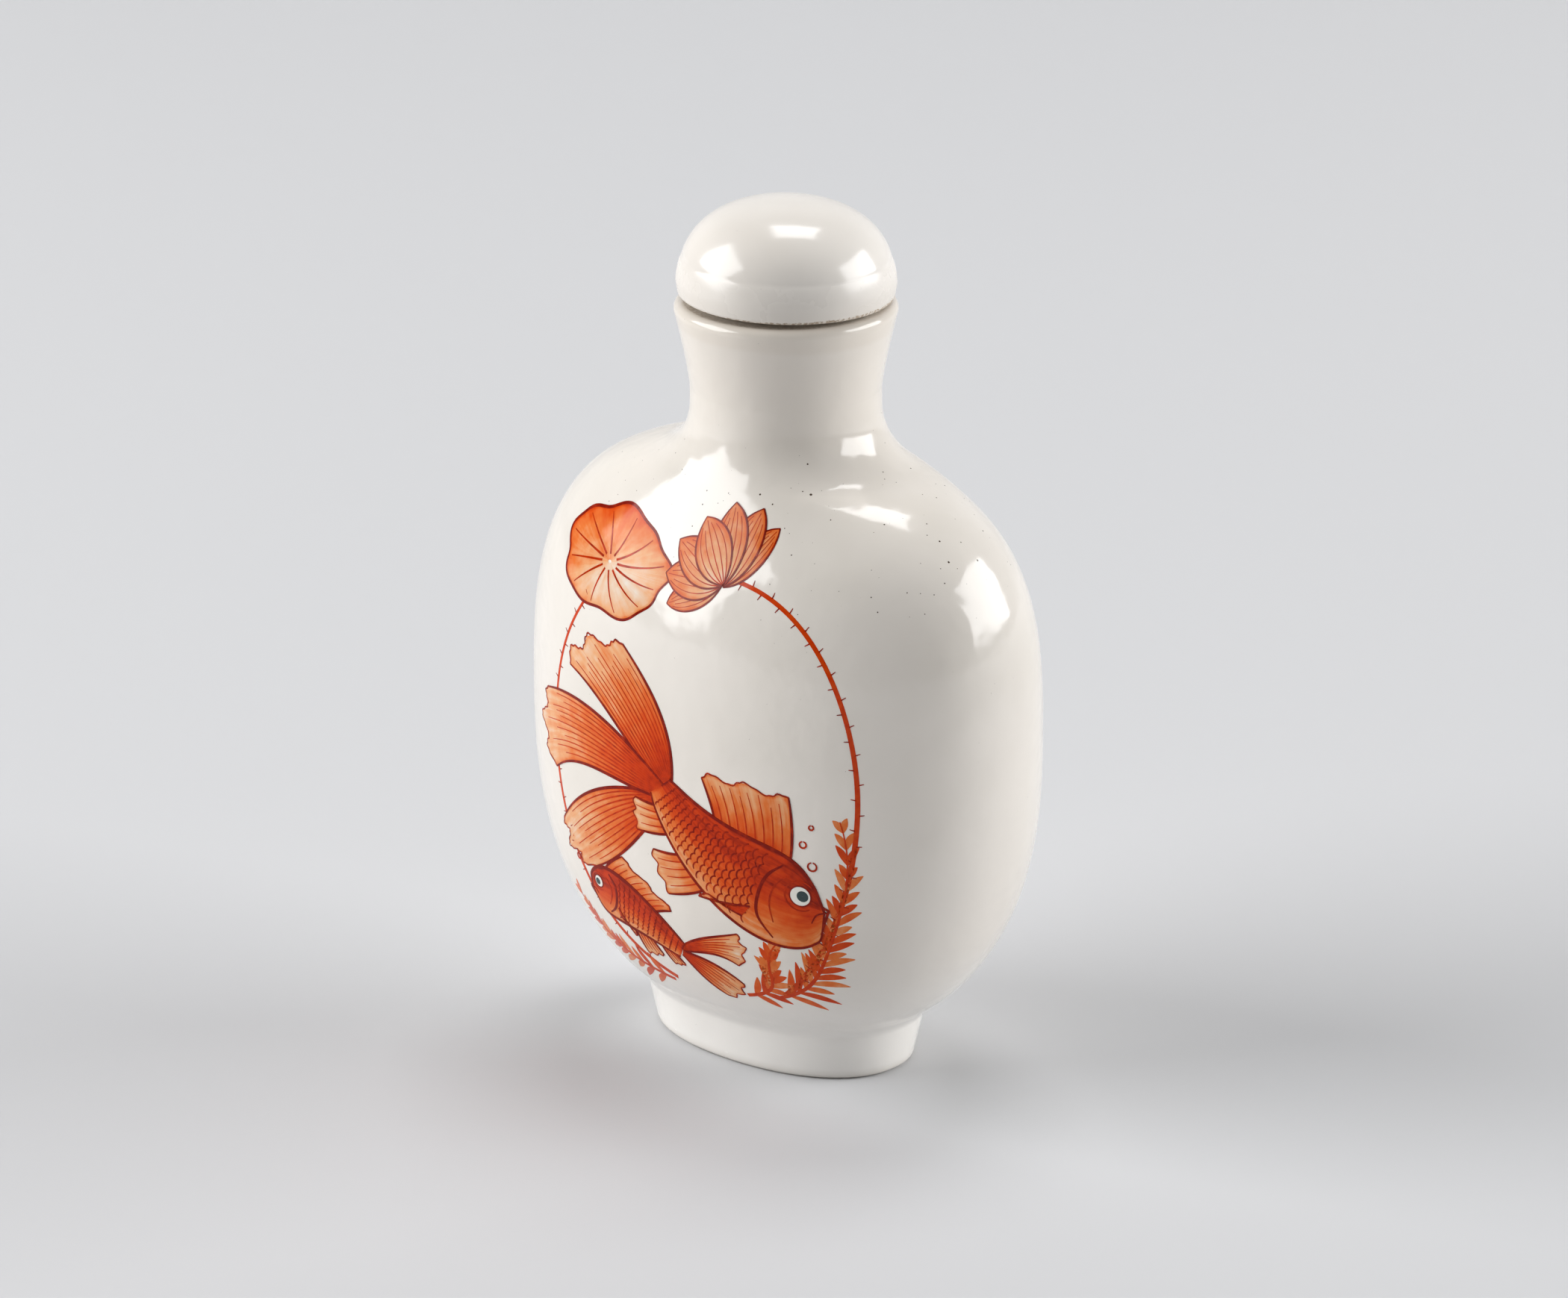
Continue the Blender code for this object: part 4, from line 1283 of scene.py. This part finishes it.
def camera():
    """A camera at the photograph's angle, with the whole frame as wide as the photograph's."""
    back = way_to(CAMERA_AZIMUTH, CAMERA_ELEVATION)
    right = way_to(CAMERA_AZIMUTH + 90.0, 0.0)
    up = back.cross(right)
    roll = math.radians(CAMERA_ROLL)
    turned_right = right * math.cos(roll) + up * math.sin(roll)
    turned_up = up * math.cos(roll) - right * math.sin(roll)
    data = bpy.data.cameras.new("camera")
    data.sensor_fit = "HORIZONTAL"
    data.sensor_width = SENSOR_WIDTH
    data.lens = SENSOR_WIDTH * PIXELS_PER_MM * CAMERA_DISTANCE / MM / IMAGE_WIDTH
    data.clip_start = 0.01
    seen = placed("camera", data)
    spot = Vector((0.0, 0.0, AIM_LEVEL)) + right * AIM_RIGHT + back * CAMERA_DISTANCE
    axes = Matrix((turned_right, turned_up, back)).transposed()
    seen.matrix_world = Matrix.Translation(spot) @ axes.to_4x4()
    bpy.context.scene.camera = seen


def softbox(name, azimuth, elevation, distance, width, height, power, lean):
    """A rectangular light that faces the shoulder, turned about its own axis by its lean."""
    back = way_to(azimuth, elevation)
    data = bpy.data.lights.new(name, "AREA")
    data.shape = "RECTANGLE"
    data.size = width
    data.size_y = height
    data.energy = power
    light = placed(name, data)
    light.location = SOFTBOX_AIM + back * distance
    turned = back.to_track_quat("Z", "Y") @ Quaternion((0.0, 0.0, 1.0), math.radians(lean))
    light.rotation_euler = turned.to_euler()


def matt_plane(name, corners, colour):
    """A plain matt plane between four corners."""
    made, _, shader = new_finish(name, STAGE_ROUGHNESS)
    shader.inputs["Base Color"].default_value = colour
    mesh = new_mesh(name, corners, [], [(0, 1, 2, 3)])
    mesh.materials.append(made)
    return placed(name, mesh)


def studio():
    """A pale floor, a plain wall behind it, an even room light and three softboxes."""
    reach = STAGE_REACH
    corners = [(-reach, -reach, 0.0), (reach, -reach, 0.0), (reach, reach, 0.0), (-reach, reach, 0.0)]
    floor = matt_plane("floor", corners, FLOOR_COLOUR)
    foot = way_to(CAMERA_AZIMUTH + 180.0, 0.0) * BACKDROP_DISTANCE
    beside = way_to(CAMERA_AZIMUTH + 90.0, 0.0) * reach
    up = Vector((0.0, 0.0, BACKDROP_HEIGHT))
    corners = [foot - beside, foot + beside, foot + beside + up, foot - beside + up]
    backdrop = matt_plane("backdrop", corners, BACKDROP_COLOUR)
    world = bpy.data.worlds.new("room")
    world.use_nodes = True
    background = world.node_tree.nodes["Background"]
    background.inputs["Color"].default_value = ROOM_COLOUR
    background.inputs["Strength"].default_value = ROOM_STRENGTH
    bpy.context.scene.world = world
    bpy.context.scene.view_settings.view_transform = "Standard"
    for settings in SOFTBOXES:
        softbox(*settings)


def painting():
    """Lays the strokes, washes and eyes on the glaze."""
    glazed = placed("canvas", canvas_mesh())
    drawn = paint_scene()
    washes = wash_tree(iron_red("iron_red_wash", True))
    lines = stroke_tree(iron_red("iron_red_line", False))
    eyes = wash_tree(eye_finish())
    sizes = {"Glaze": glazed, "Step": STROKE_STEP}
    pieces = [
        evaluated_piece("painted_washes", wash_mesh(drawn.washes), washes, sizes),
        evaluated_piece("painted_lines", stroke_mesh(drawn.strokes), lines, sizes),
        evaluated_piece("painted_eyes", wash_mesh(drawn.eyes), eyes, sizes),
    ]
    bpy.data.objects.remove(glazed)
    for piece in pieces:
        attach(face_outwards(piece), "bottle")


def main():
    """Sets the camera and the studio, and dresses the bottle and its stopper."""
    camera()
    studio()
    white_glaze = glaze(
        "white_glaze", BODY_WHITE, BODY_SHADE, dullness=0.12, waviness=0.5,
        bare_level=FOOT_BARE_HEIGHT, thin_level=FOOT_THIN_HEIGHT,
    )
    cap_glaze = glaze(
        "cap_glaze", CAP_WHITE, CAP_SHADE, dullness=0.15, waviness=0.2,
        bare_level=CAP_LOW.z + CAP_BARE_HEIGHT, thin_level=CAP_LOW.z + CAP_SIDE_HEIGHT,
    )
    bottle = lofted("glazed_bottle", bottle_profile(), BOTTLE_TURNS, white_glaze)
    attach(bottle, "bottle")
    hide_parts("bottle")
    cap = lofted("glazed_cap", cap_profile(), CAP_TURNS, cap_glaze)
    tilt(cap.data, CAP_TILT, CAP_LOW.z)
    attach(cap, "stopper")
    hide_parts("stopper_cap")
    cork = lofted("cork", cork_profile(), CORK_TURNS, cork_finish())
    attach(cork, "stopper")
    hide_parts("cork_plug")
    spoon = lofted("bone_spoon", spoon_profile(), SPOON_TURNS, bone_finish())
    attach(spoon, "stopper")
    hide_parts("spoon")
    painting()


main()
